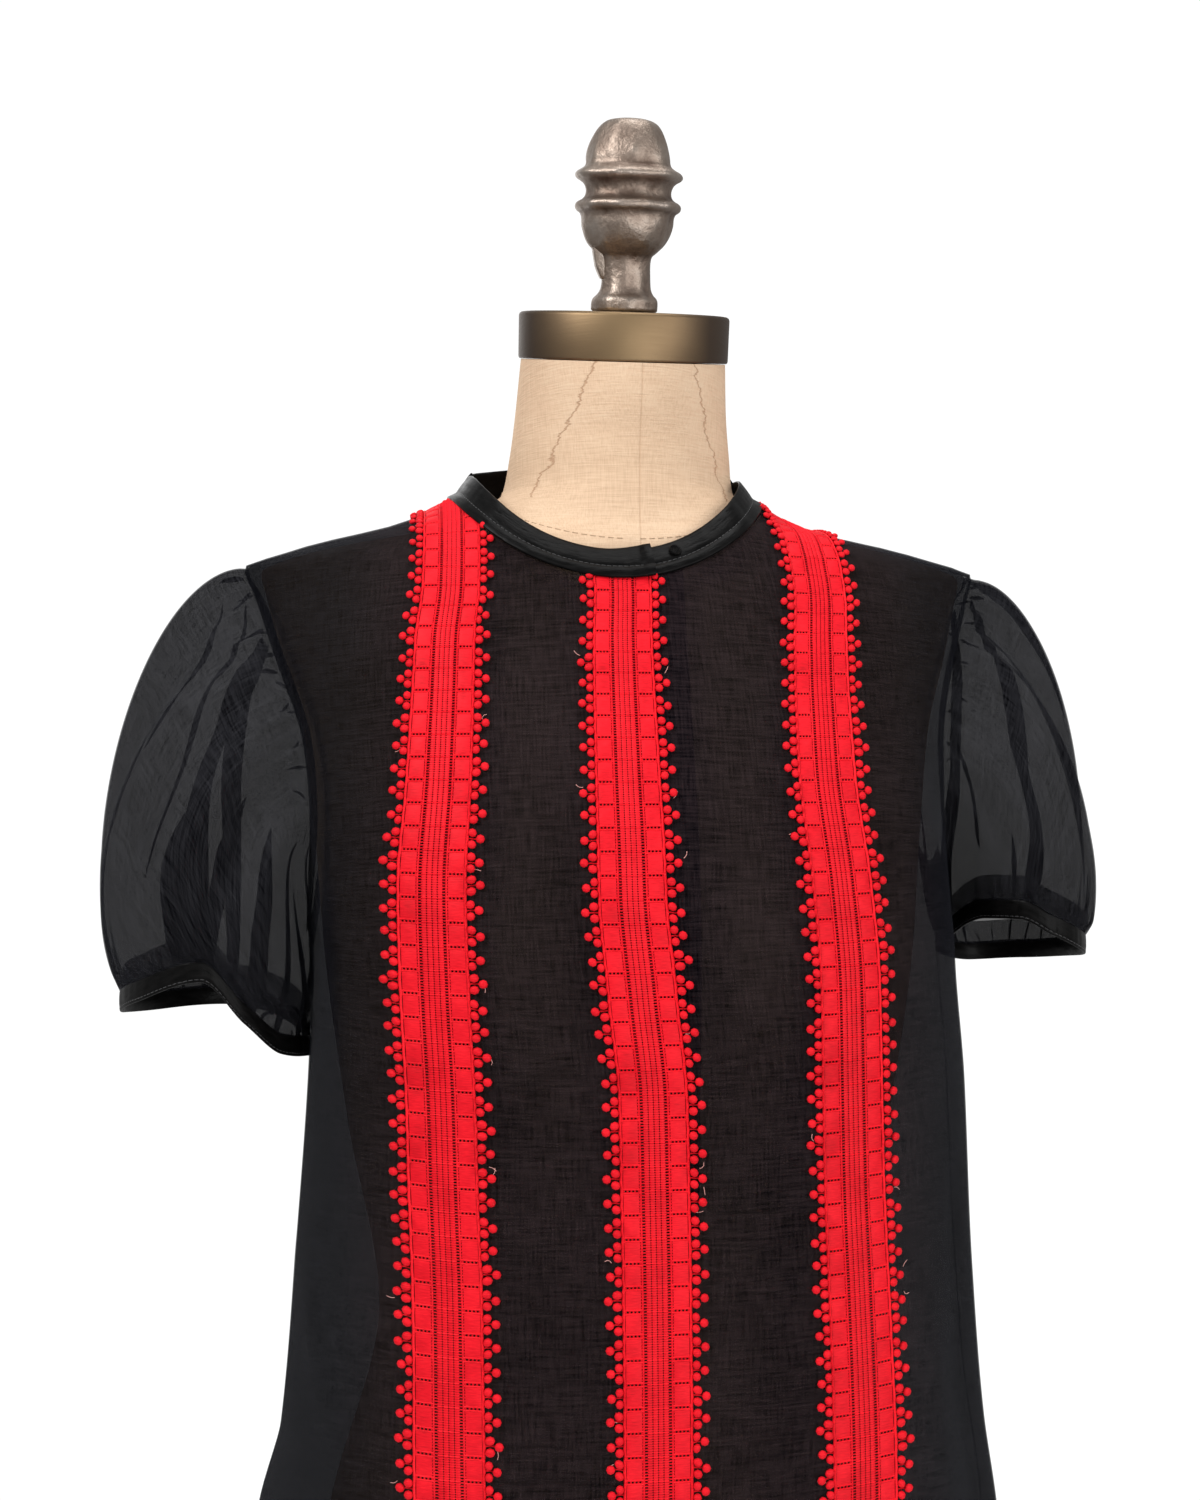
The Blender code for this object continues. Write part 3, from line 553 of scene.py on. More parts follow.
def closed(mesh, fill=True):
    """Merges a mesh's doubles, fills its open ends and turns its faces outwards."""
    shape = shape_of(mesh)
    bmesh.ops.remove_doubles(shape, verts=shape.verts[:], dist=DOUBLES)
    if fill:
        bmesh.ops.holes_fill(shape, edges=[edge for edge in shape.edges if edge.is_boundary])
    bmesh.ops.recalc_face_normals(shape, faces=shape.faces[:])
    return finished(shape, mesh)


def corners_of(mesh):
    flat = np.empty(len(mesh.vertices) * 3)
    mesh.vertices.foreach_get("co", flat)
    return flat.reshape(-1, 3)


def lay_uv(mesh, places):
    """Gives a mesh its UV map, from each vertex's place on the flat cloth."""
    corners = np.empty(len(mesh.loops), int)
    mesh.loops.foreach_get("vertex_index", corners)
    mesh.uv_layers.new(name="UVMap").data.foreach_set("uv", places[corners].ravel())


print("mesh helpers ready")


# %% Helpers for pieces
def place_mesh(name, mesh, material, slot, stands_for=None, sharp=None):
    """Puts a finished mesh in the scene as a piece of the object."""
    mesh.shade_smooth()
    if sharp:
        mesh.set_sharp_from_angle(angle=math.radians(sharp))
    mesh.materials.clear()
    mesh.materials.append(material)
    piece = bpy.data.objects.new(name, mesh)
    scene.collection.objects.link(piece)
    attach(piece, "root")
    if stands_for:
        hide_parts(stands_for)
    return piece


def cloth_piece(name, mesh, material, stands_for, folds_from=None):
    """A piece of sheer cloth with its thickness. Its last faces may be folds, of a denser copy of the cloth
    whose darker colour is painted shade.
    """
    piece = place_mesh(name, mesh, material, "sheer_black_cloth", stands_for)
    if folds_from:
        mesh.materials.append(SHADED_FOLD_VOILE)
        folds = np.arange(len(mesh.polygons)) >= folds_from
        mesh.polygons.foreach_set("material_index", folds.astype(np.int32))
    thick = piece.modifiers.new("Thickness", "SOLIDIFY")
    thick.thickness, thick.offset = CLOTH_THICK, 0
    bpy.context.view_layer.update()
    graph = bpy.context.evaluated_depsgraph_get()
    seen = piece.evaluated_get(graph)
    piece.data = bpy.data.meshes.new_from_object(seen, preserve_all_data_layers=True, depsgraph=graph)
    piece.modifiers.clear()
    piece.data.name = name
    piece.data.shade_smooth()
    piece.data.set_sharp_from_angle(angle=math.radians(RIM_ANGLE))
    return piece


print("piece helpers ready")


# %% Helpers for grids
def grid_mesh(name, points, wrapped=False, slit=None):
    """A grid of faces on points by column and row. Wrapped, its last column is sewn to its first."""
    if wrapped:
        away = points - points.mean(axis=0, keepdims=True)
        across = np.roll(points, -1, axis=0)[:, :-1] - points[:, :-1]
        faces_out = np.cross(across, points[:, 1:] - points[:, :-1])
        if (faces_out * away[:, :-1]).sum() < 0:
            points = points[::-1]
        points = np.concatenate([points, points[:1]])
    columns, rows = points.shape[0] - 1, points.shape[1] - 1
    shape = bmesh.new()
    bmesh.ops.create_grid(shape, x_segments=columns, y_segments=rows, size=1)
    mesh = finished(shape, name)
    at = np.rint((corners_of(mesh)[:, :2] + 1) / 2 * (columns, rows)).astype(int)
    mesh.vertices.foreach_set("co", points[at[:, 0], at[:, 1]].ravel())
    cut = np.stack([lengths_along(points, 0), lengths_along(points, 1)], axis=-1)
    cut[..., 0] -= cut[columns // 2, :, 0]
    lay_uv(mesh, cut[at[:, 0], at[:, 1]])
    if wrapped or slit:
        shape = shape_of(mesh)
        if wrapped:
            bmesh.ops.remove_doubles(shape, verts=shape.verts[:], dist=DOUBLES)
        else:
            open_slit(shape, at, *slit)
        finished(shape, mesh)
    return mesh


def open_slit(shape, at, column, first_row, gap):
    """Splits a grid along one column above a row, and moves the right side away by a gap."""
    line = np.flatnonzero((at[:, 0] == column) & (at[:, 1] >= first_row))
    chosen = {shape.verts[k] for k in line}
    right = {face for k in np.flatnonzero(at[:, 0] == column + 1) for face in shape.verts[k].link_faces}
    edges = {edge for vert in chosen for edge in vert.link_edges if edge.other_vert(vert) in chosen}
    split = bmesh.ops.split_edges(shape, edges=list(edges))["edges"]
    for vert in {vert for edge in split for vert in edge.verts}:
        if all(face in right and face.calc_center_median().x > vert.co.x for face in vert.link_faces):
            vert.co.x += gap


def triangles(piece):
    piece.data.calc_loop_triangles()
    return len(piece.data.loop_triangles)


print("grid helpers ready")

# %% [markdown]
# ## Front and back
#
# A panel is cut with its side seam, armhole and shoulder seam one above the other, and its neckline
# on top. Here every column of the grid runs from the hem to the neckline or the shoulder. The hem is
# turned up inside: the first rows run down the inside and round the fold. On the front, one column
# follows the slit beside the middle lace strip.

# %% Where the strips and the panels lie
SEAM_GAP = 0.0003
ROUTE = ("height", "left", "middle", "right", "placket_edge", "reach")
STRIP_ROUTES = (
    (0.225, -0.0835, 0.0010, 0.0945, 0.0180, 0.0460),
    (0.385, -0.0857, 0.0015, 0.0936, 0.0185, 0.0460),
    (0.460, -0.0868, 0.0010, 0.0913, 0.0188, 0.0460),
    (0.510, -0.0887, 0.0000, 0.0891, 0.0192, 0.0460),
    (0.553, -0.0900, -0.0011, 0.0882, 0.0196, 0.0460),
    (0.595, -0.0923, -0.0056, 0.0874, 0.0200, 0.0460),
    (0.640, -0.0936, -0.0095, 0.0846, 0.0202, 0.0455),
    (0.687, -0.0906, -0.0098, 0.0808, 0.0203, 0.0440),
    (0.722, -0.0889, -0.0096, 0.0817, 0.0204, 0.0425),
    (0.750, -0.0877, -0.0090, 0.0836, 0.0205, 0.0415),
    (0.775, -0.0849, -0.0078, 0.0857, 0.0208, 0.0405),
    (0.825, -0.0838, -0.0077, 0.0837, 0.0215, 0.0400),
)
SLIT_AT = 0.31
SLIT_FROM = 0.492
HEM_TURN = 0.012
HEM_INSIDE = -0.0011
PANEL_COLUMNS = 128
PANEL_ROWS = 150
TOP_ROWS = 44
SLIT_COLUMN = 68
SLIT_GAP = 0.0007
SQUEEZE_FROM = 0.70

print(len(STRIP_ROUTES), "rows of the strips' routes")


# %% The panels' columns
def route_x(name, height, reaches=0.0):
    """The x of a line beside a strip's middle, by strip reaches."""
    middle = read_table(ROUTE, STRIP_ROUTES, name, height)
    return middle + reaches * read_table(ROUTE, STRIP_ROUTES, "reach", height)


def armhole_angles(side, facing, heights):
    """The angle round the oval at which a panel's armhole edge lies, at each height."""
    up = np.clip((heights - UNDERARM[side]) / (SHOULDER_TIP - UNDERARM[side]), 0, 1)
    bites = ARMHOLE_BITE[facing] * np.sin(np.pi * up**0.75) ** 0.8
    angles = np.linspace(np.pi / 2, np.pi / 6, 160)
    section = section_at(CLOTH_SECTIONS, heights[:, None] + 0 * angles)
    lines = cloth_at(section["shift"] + side * section["half_width"] * np.sin(angles), heights[:, None], facing)
    lengths = lengths_along(lines, 1)
    return side * np.array([np.interp(bite, length, angles) for bite, length in zip(bites, lengths)])


class Panel:
    """Where each column of a panel lies, at each height."""

    def __init__(self, facing, columns, middle_column):
        self.facing, self.columns, self.middle_column = facing, columns, middle_column
        self.heights = np.linspace(HEM, 0.86, 420)
        self.edges = [armhole_angles(side, facing, self.heights) for side in (-1, 1)]
        turn = np.linspace(-np.pi / 2, np.pi / 2, 400)
        neck_x = NECK_CENTRE + NECK_RADIUS * np.sin(turn)
        neck_z = neckline_height(neck_x, facing)
        section = section_at(CLOTH_SECTIONS, neck_z)
        angle = np.arcsin(np.clip((neck_x - section["shift"]) / section["half_width"], -1, 1))
        column = self.column_at(angle, neck_z)
        order = np.argsort(column)
        self.tops = np.interp(np.arange(columns + 1), column[order], neck_z[order])

    def lines(self, height):
        """The angles of the left edge, the middle column and the right edge."""
        left, right = (np.interp(height, self.heights, edge) for edge in self.edges)
        section = section_at(CLOTH_SECTIONS, height)
        middle_x = route_x("middle", height, SLIT_AT) if self.facing < 0 else section["shift"]
        return left, np.arcsin((middle_x - section["shift"]) / section["half_width"]), right

    def column_at(self, angle, height):
        left, middle, right = self.lines(height)
        k, last = self.middle_column, self.columns
        low = k * (angle - left) / (middle - left)
        return np.where(angle < middle, low, k + (last - k) * (angle - middle) / (right - middle))

    def points(self, column, height, off):
        """Points at columns and heights, which keep the two panels apart at the seam."""
        left, middle, right = self.lines(height)
        k, last = self.middle_column, self.columns
        low = left + (middle - left) * column / k
        angle = np.where(column <= k, low, middle + (right - middle) * (column - k) / (last - k))
        section = section_at(CLOTH_SECTIONS, height)
        x = section["shift"] + section["half_width"] * np.sin(angle)
        points = panel_at(x, height, self.facing, off)[0]
        points[..., 1] += self.facing * SEAM_GAP / 4
        return points

    def grid(self):
        """The panel's grid from the turned-up hem to the neckline."""
        turned = [(HEM + HEM_TURN * t, HEM_INSIDE) for t in (1, 0.66, 0.33, 0.08)]
        turned += [(HEM + 0.0002, HEM_INSIDE / 2), (HEM + 0.001, 0.0)]
        lower = np.linspace(HEM + 0.004, SQUEEZE_FROM, PANEL_ROWS - TOP_ROWS)
        share = np.linspace(0, 1, TOP_ROWS + 1)[1:]
        upper = SQUEEZE_FROM + (NECK_POINT - SQUEEZE_FROM) * (0.72 * share + 0.28 * share**2)
        heights = np.concatenate([[row[0] for row in turned], lower, upper])
        inside = np.concatenate([[row[1] for row in turned], np.zeros(len(lower) + len(upper))])
        over = np.clip((heights - SQUEEZE_FROM) / (NECK_POINT - SQUEEZE_FROM), 0, 1)
        squeeze = (self.tops[:, None] - NECK_POINT) * over
        return self.points(np.arange(self.columns + 1)[:, None], heights[None] + squeeze, inside[None])


front_points = Panel(-1, PANEL_COLUMNS, SLIT_COLUMN).grid()
back_points = Panel(1, PANEL_COLUMNS, PANEL_COLUMNS // 2).grid()
slit_row = int(np.argmin(np.abs(front_points[SLIT_COLUMN, :, 2] - SLIT_FROM)))
front_mesh = grid_mesh("front_cloth", front_points, slit=(SLIT_COLUMN, slit_row, SLIT_GAP))
front = cloth_piece("front_cloth", front_mesh, VOILE, "blouse_front")
back = cloth_piece("back_cloth", grid_mesh("back_cloth", back_points[::-1]), VOILE, "blouse_back")
print("front", triangles(front), "triangles, back", triangles(back))

# %% [markdown]
# ## Placket
#
# Behind the slit lies an underlap of the same cloth. Through the sheer front it shows as a darker
# band beside the middle lace strip. Its edge is turned in, so a narrow second layer runs along it.

# %% The placket's underlap
LAYER_STEP = 0.0012
TURNED_STEP = 0.0020
NECK_EASE = 0.0004


def placket_layer(from_share, to_share, step, columns):
    """A layer between two shares of the width from the strip's middle to the placket's edge."""
    share = np.linspace(from_share, to_share, columns + 1)[:, None]
    up = np.linspace(0, 1, 121)[None]

    def across(height):
        return route_x("middle", height) * (1 - share) + route_x("placket_edge", height) * share

    top = neckline_height(across(0.780), -1) - NECK_EASE
    height = SLIT_FROM + (top - SLIT_FROM) * up
    return grid_mesh("layer", panel_at(across(height), height, -1, -step)[0])


layers = [placket_layer(0, 1, LAYER_STEP, 14), placket_layer(0.72, 0.995, TURNED_STEP, 5)]
placket = cloth_piece("placket_cloth", joined("placket_cloth", layers), VOILE, "placket_underlap")
print("placket", triangles(placket), "triangles")

# %% [markdown]
# ## Lace
#
# The strips are guipure lace: satin squares between ladders, a ribbed middle, and a row of trefoil
# picots along both edges. It is charted as one repeat in flat coordinates, across, along and out of
# the strip. The repeat is copied up the strip, and then the flat strip is bent onto the cloth. A tone
# on each part tells the thread's material how pale it is; on the ribbed middle the tone also holds
# painted light on each rib's crest and painted shade in its grooves.

# %% Sizes of the lace
PITCH = 0.0103
RIB = PITCH / 10
PEG = PITCH / 8
EDGE = 0.0142
BLOCK = (0.0069, 0.0136)
LADDER = 0.0062
PEG_SPAN = (0.0045, 0.0070)
RIBBON = 0.00232
BAR_AT = 0.0008
PICOT = ((-0.0025, 0.0022), (0.0025, 0.0022), (0, 0.0058))
CORD_FLAT = 0.8

print("one repeat is", PITCH, "m long")


# %% Shapes of thread
class Repeat:
    """A flat piece of lace that is built from small shapes with few faces."""

    def __init__(self):
        self.shape = bmesh.new()
        self.tone = self.shape.verts.layers.float.new("tone")

    def keep(self, verts, tone, place):
        """Moves new corners to their places and gives them their tone."""
        for vert in verts:
            vert[self.tone] = tone
            vert.co = place(vert.co)

    def cord(self, start, end, radius, tone, cells=1, sides=5, wave=0.0):
        """A thread between two places across and along, whose middle may wave outwards."""
        start, end = Vector((*start, 0)), Vector((*end, 0))
        verts = bmesh.ops.create_grid(self.shape, x_segments=cells, y_segments=sides, size=1)["verts"]
        run = end - start
        aside = Vector((-run.y, run.x, 0)).normalized()

        def place(co):
            share, turn = (co.x + 1) / 2, -math.pi * (co.y + 1)
            bulge = wave * math.sin(math.pi * share) * (1 if start.x > 0 else -1)
            out = (math.cos(turn) + 1) * radius * CORD_FLAT
            return start + run * share + aside * (math.sin(turn) * radius) + Vector((bulge, 0, out))

        self.keep(verts, tone, place)

    def pad(self, across, along, size, height, tone):
        """A satin square: a domed pad with straight sides."""
        verts = bmesh.ops.create_grid(self.shape, x_segments=6, y_segments=6, size=1)["verts"]

        def place(co):
            dome = (1 - abs(co.x) ** 4) * (1 - abs(co.y) ** 4)
            crown = 0.55 + 0.45 * (1 - co.x**2) * (1 - co.y**2)
            out = height * (0.5 + 0.5 * dome**0.5 * crown)
            return Vector((across + co.x * size[0] / 2, along + co.y * size[1] / 2, out))

        self.keep(verts, tone, place)

    def ball(self, across, along, radius, tone):
        verts = bmesh.ops.create_uvsphere(self.shape, u_segments=8, v_segments=5, radius=radius)["verts"]
        self.keep(verts, tone, lambda co: Vector((co.x + across, co.y + along, co.z * 0.62 + radius * 0.55)))

    def ribbon(self, middle, width, tone):
        """A ribbed column: its ribs touch the next column's and leave tiny holes between them."""
        rows = round(PITCH / RIB) * 2
        verts = bmesh.ops.create_grid(self.shape, x_segments=4, y_segments=rows, size=1)["verts"]

        def place(co):
            along = (co.y + 1) / 2 * PITCH
            rib = math.cos(2 * math.pi * along / RIB)
            reach = width / 2 * (0.88 + 0.14 * rib)
            arch = 1 - 0.5 * co.x**2
            return Vector((middle + co.x * reach, along, 0.0001 + (0.00056 + 0.00036 * rib) * arch))

        self.keep(verts, tone, place)
        # The tone is painted paler on each rib's crest and darker in its grooves: painted light and shade.
        for vert in verts:
            vert[self.tone] = tone + 0.42 * math.cos(2 * math.pi * vert.co.y / RIB)


print("thread shapes ready")


# %% One repeat of the lace
def make_repeat():
    lace = Repeat()
    for column in range(4):
        lace.ribbon((column - 1.5) * RIBBON, RIBBON, 0.62 if column % 2 else 0.5)
    for side in (-1, 1):
        for across, radius, tone, wave in ((EDGE, 0.00066, 0.75, 0.00025), (LADDER, 0.00044, 0.6, 0)):
            lace.cord((side * across, 0), (side * across, PITCH), radius, tone, cells=8, wave=wave)
        for along in (np.arange(8) + 0.5) * PEG:
            low, high = ((side * across, along) for across in PEG_SPAN)
            lace.cord(low, high, 0.00036, 0.45, sides=4)
        for along in (BAR_AT, PITCH - BAR_AT):
            lace.cord((side * LADDER, along), (side * EDGE, along), 0.00044, 0.7, cells=2)
        for peg in range(5):
            across = side * (LADDER + (EDGE - LADDER) * (peg + 0.5) / 5)
            lace.cord((across, -0.0007), (across, 0.0008), 0.00040, 0.45, sides=4)
        block = (BLOCK[1] - BLOCK[0], PITCH - 0.0019)
        lace.pad(side * (BLOCK[0] + BLOCK[1]) / 2, PITCH / 2, block, 0.00085, 0.42)
        edge = side * (EDGE + 0.0003)
        for up, out in PICOT:
            tip, along = edge + side * out, PITCH / 2 + up
            lace.ball(tip, along, 0.00198, 0.4)
            lace.cord((edge, along), (tip, along), 0.00038, 0.45, cells=2, sides=4)
    return finished(lace.shape, "lace_repeat")


repeat_mesh = make_repeat()
repeat_mesh.calc_loop_triangles()
print("one repeat of the lace:", len(repeat_mesh.loop_triangles), "triangles")

# %% [markdown]
# The flat strip is bent with a table of places on the cloth. Up to the chest its rows lie level with
# the cloth's. Above that each line across the strip is measured along itself, so that the motifs keep
# their size where the cloth turns back over the shoulder. A line ends at the neckline or the shoulder.

# %% Sizes of the bent lace
LEVEL_TO = 0.770
LACE_STEP = 0.0006
LACE_REACH = 0.0460
TABLE_STEP = 0.0010
LACE_HALF = 0.0245
PICOT_STRAY = (0.00030, 0.00035)
NECK_CLEAR = 0.835

print("lace lies", LACE_STEP, "m off the front")


# %% Places on the front
def read_along(at, run, line):
    """Points or normals of a line at lengths along it."""
    return np.stack([np.interp(at, run, line[:, k]) for k in range(3)], axis=-1)


def read_grid(grid, column, row):
    """A grid's values between its columns and rows. A column past the last is the first again."""
    c, r = np.floor(column).astype(int), row.astype(int)
    s, t = (column - c)[..., None], (row - r)[..., None]

    def read(k):
        k = k % len(grid)
        return grid[k, r] * (1 - t) + grid[k, r + 1] * t

    return read(c) * (1 - s) + read(c + 1) * s


def lace_table(name):
    """Places and normals by column across the strip and millimetre along it, and each column's length."""
    across = np.linspace(-LACE_HALF, LACE_HALF, 29)
    level = np.linspace(HEM + 0.0003, LEVEL_TO, 360)
    fine = np.linspace(LEVEL_TO, NECK_CLEAR, 1600)
    share = np.linspace(0, 1, 141)[1:]
    lines = []
    for u in across / LACE_REACH:
        x = route_x(name, fine, u)
        section = section_at(CLOTH_SECTIONS, fine)
        inside = np.abs(x - section["shift"]) < section["half_width"] * 0.99995
        top = fine[np.argmin(inside & (fine < neckline_height(x, -1)))]
        height = np.concatenate([level, LEVEL_TO + (top - LEVEL_TO) * (1 - (1 - share) ** 3)])
        lines.append(panel_at(route_x(name, height, u), height, -1, LACE_STEP))
    points = np.array([line[0] for line in lines])
    length = lengths_along(points, 1)
    middle = length[len(across) // 2, : len(level)]
    length[:, len(level) :] += (middle[-1] - length[:, len(level) - 1])[:, None]
    length[:, : len(level)] = middle
    at = np.arange(0, length.max() + TABLE_STEP, TABLE_STEP)
    places, normals = (
        np.array([read_along(at, run, line[k]) for run, line in zip(length, lines)]) for k in (0, 1)
    )
    return across, at, places, unit(normals), length[:, -1]


print("lace tables have a row each", TABLE_STEP, "m")


# %% Bend the lace onto the front
def bend(flat, table):
    """Flat places (across, along, out) as places on the cloth."""
    across, at, points, normals, _ = table
    column = np.clip((flat[:, 0] - across[0]) / (across[1] - across[0]), 0, len(across) - 1.001)
    row = np.clip(flat[:, 1] / TABLE_STEP, 0, len(at) - 1.001)
    return read_grid(points, column, row) + unit(read_grid(normals, column, row)) * flat[:, 2:]


def lace_strip(name, seed):
    random = np.random.default_rng(seed)
    table = lace_table(name)
    shape = bmesh.new()
    for k in range(math.ceil(table[4].max() / PITCH)):
        shape.from_mesh(repeat_mesh)
        shape.verts.ensure_lookup_table()
        added = shape.verts[k * len(repeat_mesh.vertices) :]
        bmesh.ops.translate(shape, verts=added, vec=(0, k * PITCH, 0))
    mesh = finished(shape, f"lace_{name}")
    flat = corners_of(mesh)
    picot = np.clip((np.abs(flat[:, 0]) - EDGE) / 0.004, 0, 1)
    cell = np.clip((flat[:, 1] / PITCH).astype(int), 0, 99) * 2 + (flat[:, 0] > 0)
    flat[:, 1] += picot * random.normal(0, PICOT_STRAY[1], 200)[cell]
    flat[:, 0] += np.sign(flat[:, 0]) * picot * random.normal(0, PICOT_STRAY[0], 200)[cell]
    end = np.interp(flat[:, 0], table[0], table[4])
    over = flat[:, 1] > end
    flat[:, 1] = np.minimum(flat[:, 1], end)
    flat[:, 2] = np.where(over, flat[:, 2] * 0.3, flat[:, 2])
    mesh.vertices.foreach_set("co", bend(flat, table).ravel())
    lay_uv(mesh, flat[:, :2])
    shape = shape_of(mesh)
    gone = [face for face in shape.faces if all(over[vert.index] for vert in face.verts)]
    bmesh.ops.delete(shape, geom=gone, context="FACES")
    bmesh.ops.dissolve_degenerate(shape, edges=shape.edges[:], dist=2e-6)
    return place_mesh(mesh.name, finished(shape, mesh), LACE_THREAD, "red_lace", f"lace_strip_{name}")


laces = [lace_strip(name, seed) for seed, name in enumerate(("left", "middle", "right"))]
print("lace strips", [triangles(strip) for strip in laces], "triangles")

# %% [markdown]
# A few cut thread ends were left beside the picots. They're paler than the lace, and lie on the cloth.

# %% Sizes of the thread ends
THREAD_ENDS = 13
THREAD_LENGTH = 0.0034
THREAD_RADIUS = 0.00013
THREAD_HEIGHTS = (0.26, 0.76)
THREAD_ASIDE = (0.0185, 0.0225)
THREAD_STEP = 0.0011

print(THREAD_ENDS, "thread ends to a strip")


# %% Loose thread ends
def stood(place, along):
    """The matrix that stands a piece at a place, with its axis along a direction."""
    turn = Vector(along).to_track_quat("Z", "Y").to_matrix().to_4x4()
    return Matrix.Translation(Vector(place)) @ turn


def rod(shape, segments, radii, length, place):
    values = {"radius1": radii[0], "radius2": radii[1], "depth": length, "matrix": place}
    bmesh.ops.create_cone(shape, cap_ends=True, segments=segments, **values)


def make_thread_ends(name, seed):
    """Short bent threads: each is three rods in a row, on the cloth beside a picot."""
    random = np.random.default_rng(seed)
    shape = bmesh.new()
    for _ in range(THREAD_ENDS):
        height = random.uniform(*THREAD_HEIGHTS)
        across = route_x(name, height) + random.choice((-1, 1)) * random.uniform(*THREAD_ASIDE)
        angle, bend_by = random.uniform(0, 2 * np.pi), random.uniform(-0.7, 0.7)
        spots = [np.array((across, height))]
        for _ in range(3):
            spots.append(spots[-1] + THREAD_LENGTH / 3 * np.array((math.cos(angle), math.sin(angle))))
            angle += bend_by
        places = panel_at(*np.array(spots).T, -1, THREAD_STEP)[0]
        for low, high in zip(places, places[1:]):
            length = float(np.linalg.norm(high - low)) * 1.1
            rod(shape, 5, (THREAD_RADIUS, THREAD_RADIUS), length, stood((low + high) / 2, high - low))
    name = f"thread_ends_{name}"
    return place_mesh(name, finished(shape, name), PALE_THREAD, "red_lace")


threads = [make_thread_ends(name, 71 + seed) for seed, name in enumerate(("left", "middle", "right"))]
print("thread ends", [triangles(piece) for piece in threads], "triangles")

# %% [markdown]
# ## Sleeves
#
# A short puff sleeve is a tube whose head and lower edge are gathered into smaller rounds. Each line
# from the armhole to the cuff is one curve that first leaves the armhole, then hangs into the cuff.
# Gathers are closest at the sleeve head and at the cuff, and die out in the puff between them. Long
# soft folds run down from the head.

# %% Tables of the sleeves
SLEEVE_CUFFS = {
    "left": {"side": -1, "centre": (-0.1975, 0.004), "radii": (0.0440, 0.058), "fullness": (0.82, 1.35)},
    "right": {"side": 1, "centre": (0.2030, 0.004), "radii": (0.0330, 0.058), "fullness": (0.72, 0.85)},
}
CUFF = ("turn", "left", "right")
CUFF_HEIGHTS = (
    (0.000, 0.550, 0.602),
    (0.110, 0.558, 0.617),
    (0.180, 0.575, 0.618),
    (0.250, 0.595, 0.611),
    (0.375, 0.584, 0.600),
    (0.500, 0.573, 0.593),
    (0.625, 0.568, 0.587),
    (0.750, 0.567, 0.584),
    (0.875, 0.560, 0.590),
    (1.000, 0.550, 0.602),
)
PUFF = ("turn", "out", "spread")
PUFF_SHAPE = (
    (0.000, 0.004, 0.001),
    (0.250, 0.036, 0.030),
    (0.500, 0.056, 0.022),
    (0.750, 0.036, 0.030),
    (1.000, 0.004, 0.001),
)
PUFF_HANG = 0.36
PUFF_FOLDS = 6
PUFF_FOLD_DEPTH = 0.0025
CUFF_BAND = 0.010
FOLD_SCALE = 1.7
SLEEVE_STATIONS = 300
SLEEVE_ROWS = 90
TUCKED_ROWS = 3
SLEEVE_FOLD = ("from_turn", "from_share", "to_turn", "to_share", "width", "depth")
SLEEVE_FOLDS = {
    "left": (
        (0.16, 0.10, 0.18, 0.70, 0.0075, 0.0030),
        (0.21, 0.02, 0.23, 0.80, 0.0080, -0.0032),
        (0.27, 0.04, 0.30, 0.92, 0.0085, 0.0040),
        (0.33, 0.00, 0.35, 0.70, 0.0080, -0.0030),
        (0.38, 0.10, 0.41, 0.96, 0.0100, 0.0036),
        (0.45, 0.02, 0.46, 0.66, 0.0090, -0.0026),
        (0.52, 0.00, 0.54, 0.80, 0.0110, 0.0030),
        (0.60, 0.06, 0.60, 0.90, 0.0090, -0.0032),
        (0.66, 0.00, 0.68, 0.74, 0.0090, 0.0036),
        (0.74, 0.08, 0.75, 0.94, 0.0080, -0.0030),
        (0.83, 0.05, 0.82, 0.70, 0.0080, 0.0030),
    ),
    "right": (
        (0.17, 0.06, 0.16, 0.74, 0.0075, -0.0026),
        (0.23, 0.02, 0.22, 0.86, 0.0080, 0.0034),
        (0.30, 0.05, 0.28, 0.90, 0.0080, -0.0032),
        (0.37, 0.00, 0.36, 0.72, 0.0090, 0.0036),
        (0.44, 0.08, 0.44, 0.94, 0.0090, -0.0028),
        (0.50, 0.02, 0.51, 0.70, 0.0100, 0.0030),
        (0.57, 0.04, 0.57, 0.88, 0.0090, -0.0030),
        (0.65, 0.00, 0.64, 0.76, 0.0090, 0.0034),
        (0.72, 0.06, 0.73, 0.92, 0.0080, -0.0030),
        (0.81, 0.05, 0.82, 0.72, 0.0080, 0.0028),
    ),
}
TUCK = ("from_turn", "from_share", "to_turn", "to_share", "half_width")
TUCKS = {
    "left": (
        (0.40, 0.01, 0.25, 1.00, 0.0058),
        (0.40, 0.12, 0.33, 0.72, 0.0012),
        (0.30, 0.52, 0.28, 1.00, 0.0068),
        (0.19, 0.30, 0.17, 1.00, 0.0050),
        (0.13, 0.10, 0.12, 1.00, 0.0022),
        (0.47, 0.10, 0.40, 0.46, 0.0028),
        (0.45, 0.03, 0.38, 0.22, 0.0016),
        (0.09, 0.30, 0.06, 1.00, 0.0044),
        (0.60, 0.02, 0.75, 1.00, 0.0056),
        (0.72, 0.40, 0.71, 1.00, 0.0050),
        (0.88, 0.10, 0.92, 1.00, 0.0040),
    ),
    "right": (
        (0.46, 0.01, 0.20, 1.00, 0.0070),
        (0.50, 0.00, 0.49, 0.50, 0.0050),
        (0.24, 0.03, 0.12, 0.56, 0.0026),
        (0.19, 0.60, 0.17, 1.00, 0.0014),
        (0.35, 0.82, 0.36, 1.00, 0.0012),
        (0.55, 0.01, 0.80, 1.00, 0.0060),
        (0.76, 0.10, 0.88, 1.00, 0.0036),
    ),
}
TUCK_CELLS = (60, 6)
PLEATS = 26
PLEAT_CELLS = (16, 4)
PLEAT_HALF_WIDTH = 0.0007
CUFF_ROUND = 0.36
HEAD_STEP = 0.0010
CUFF_STEP = 0.0012
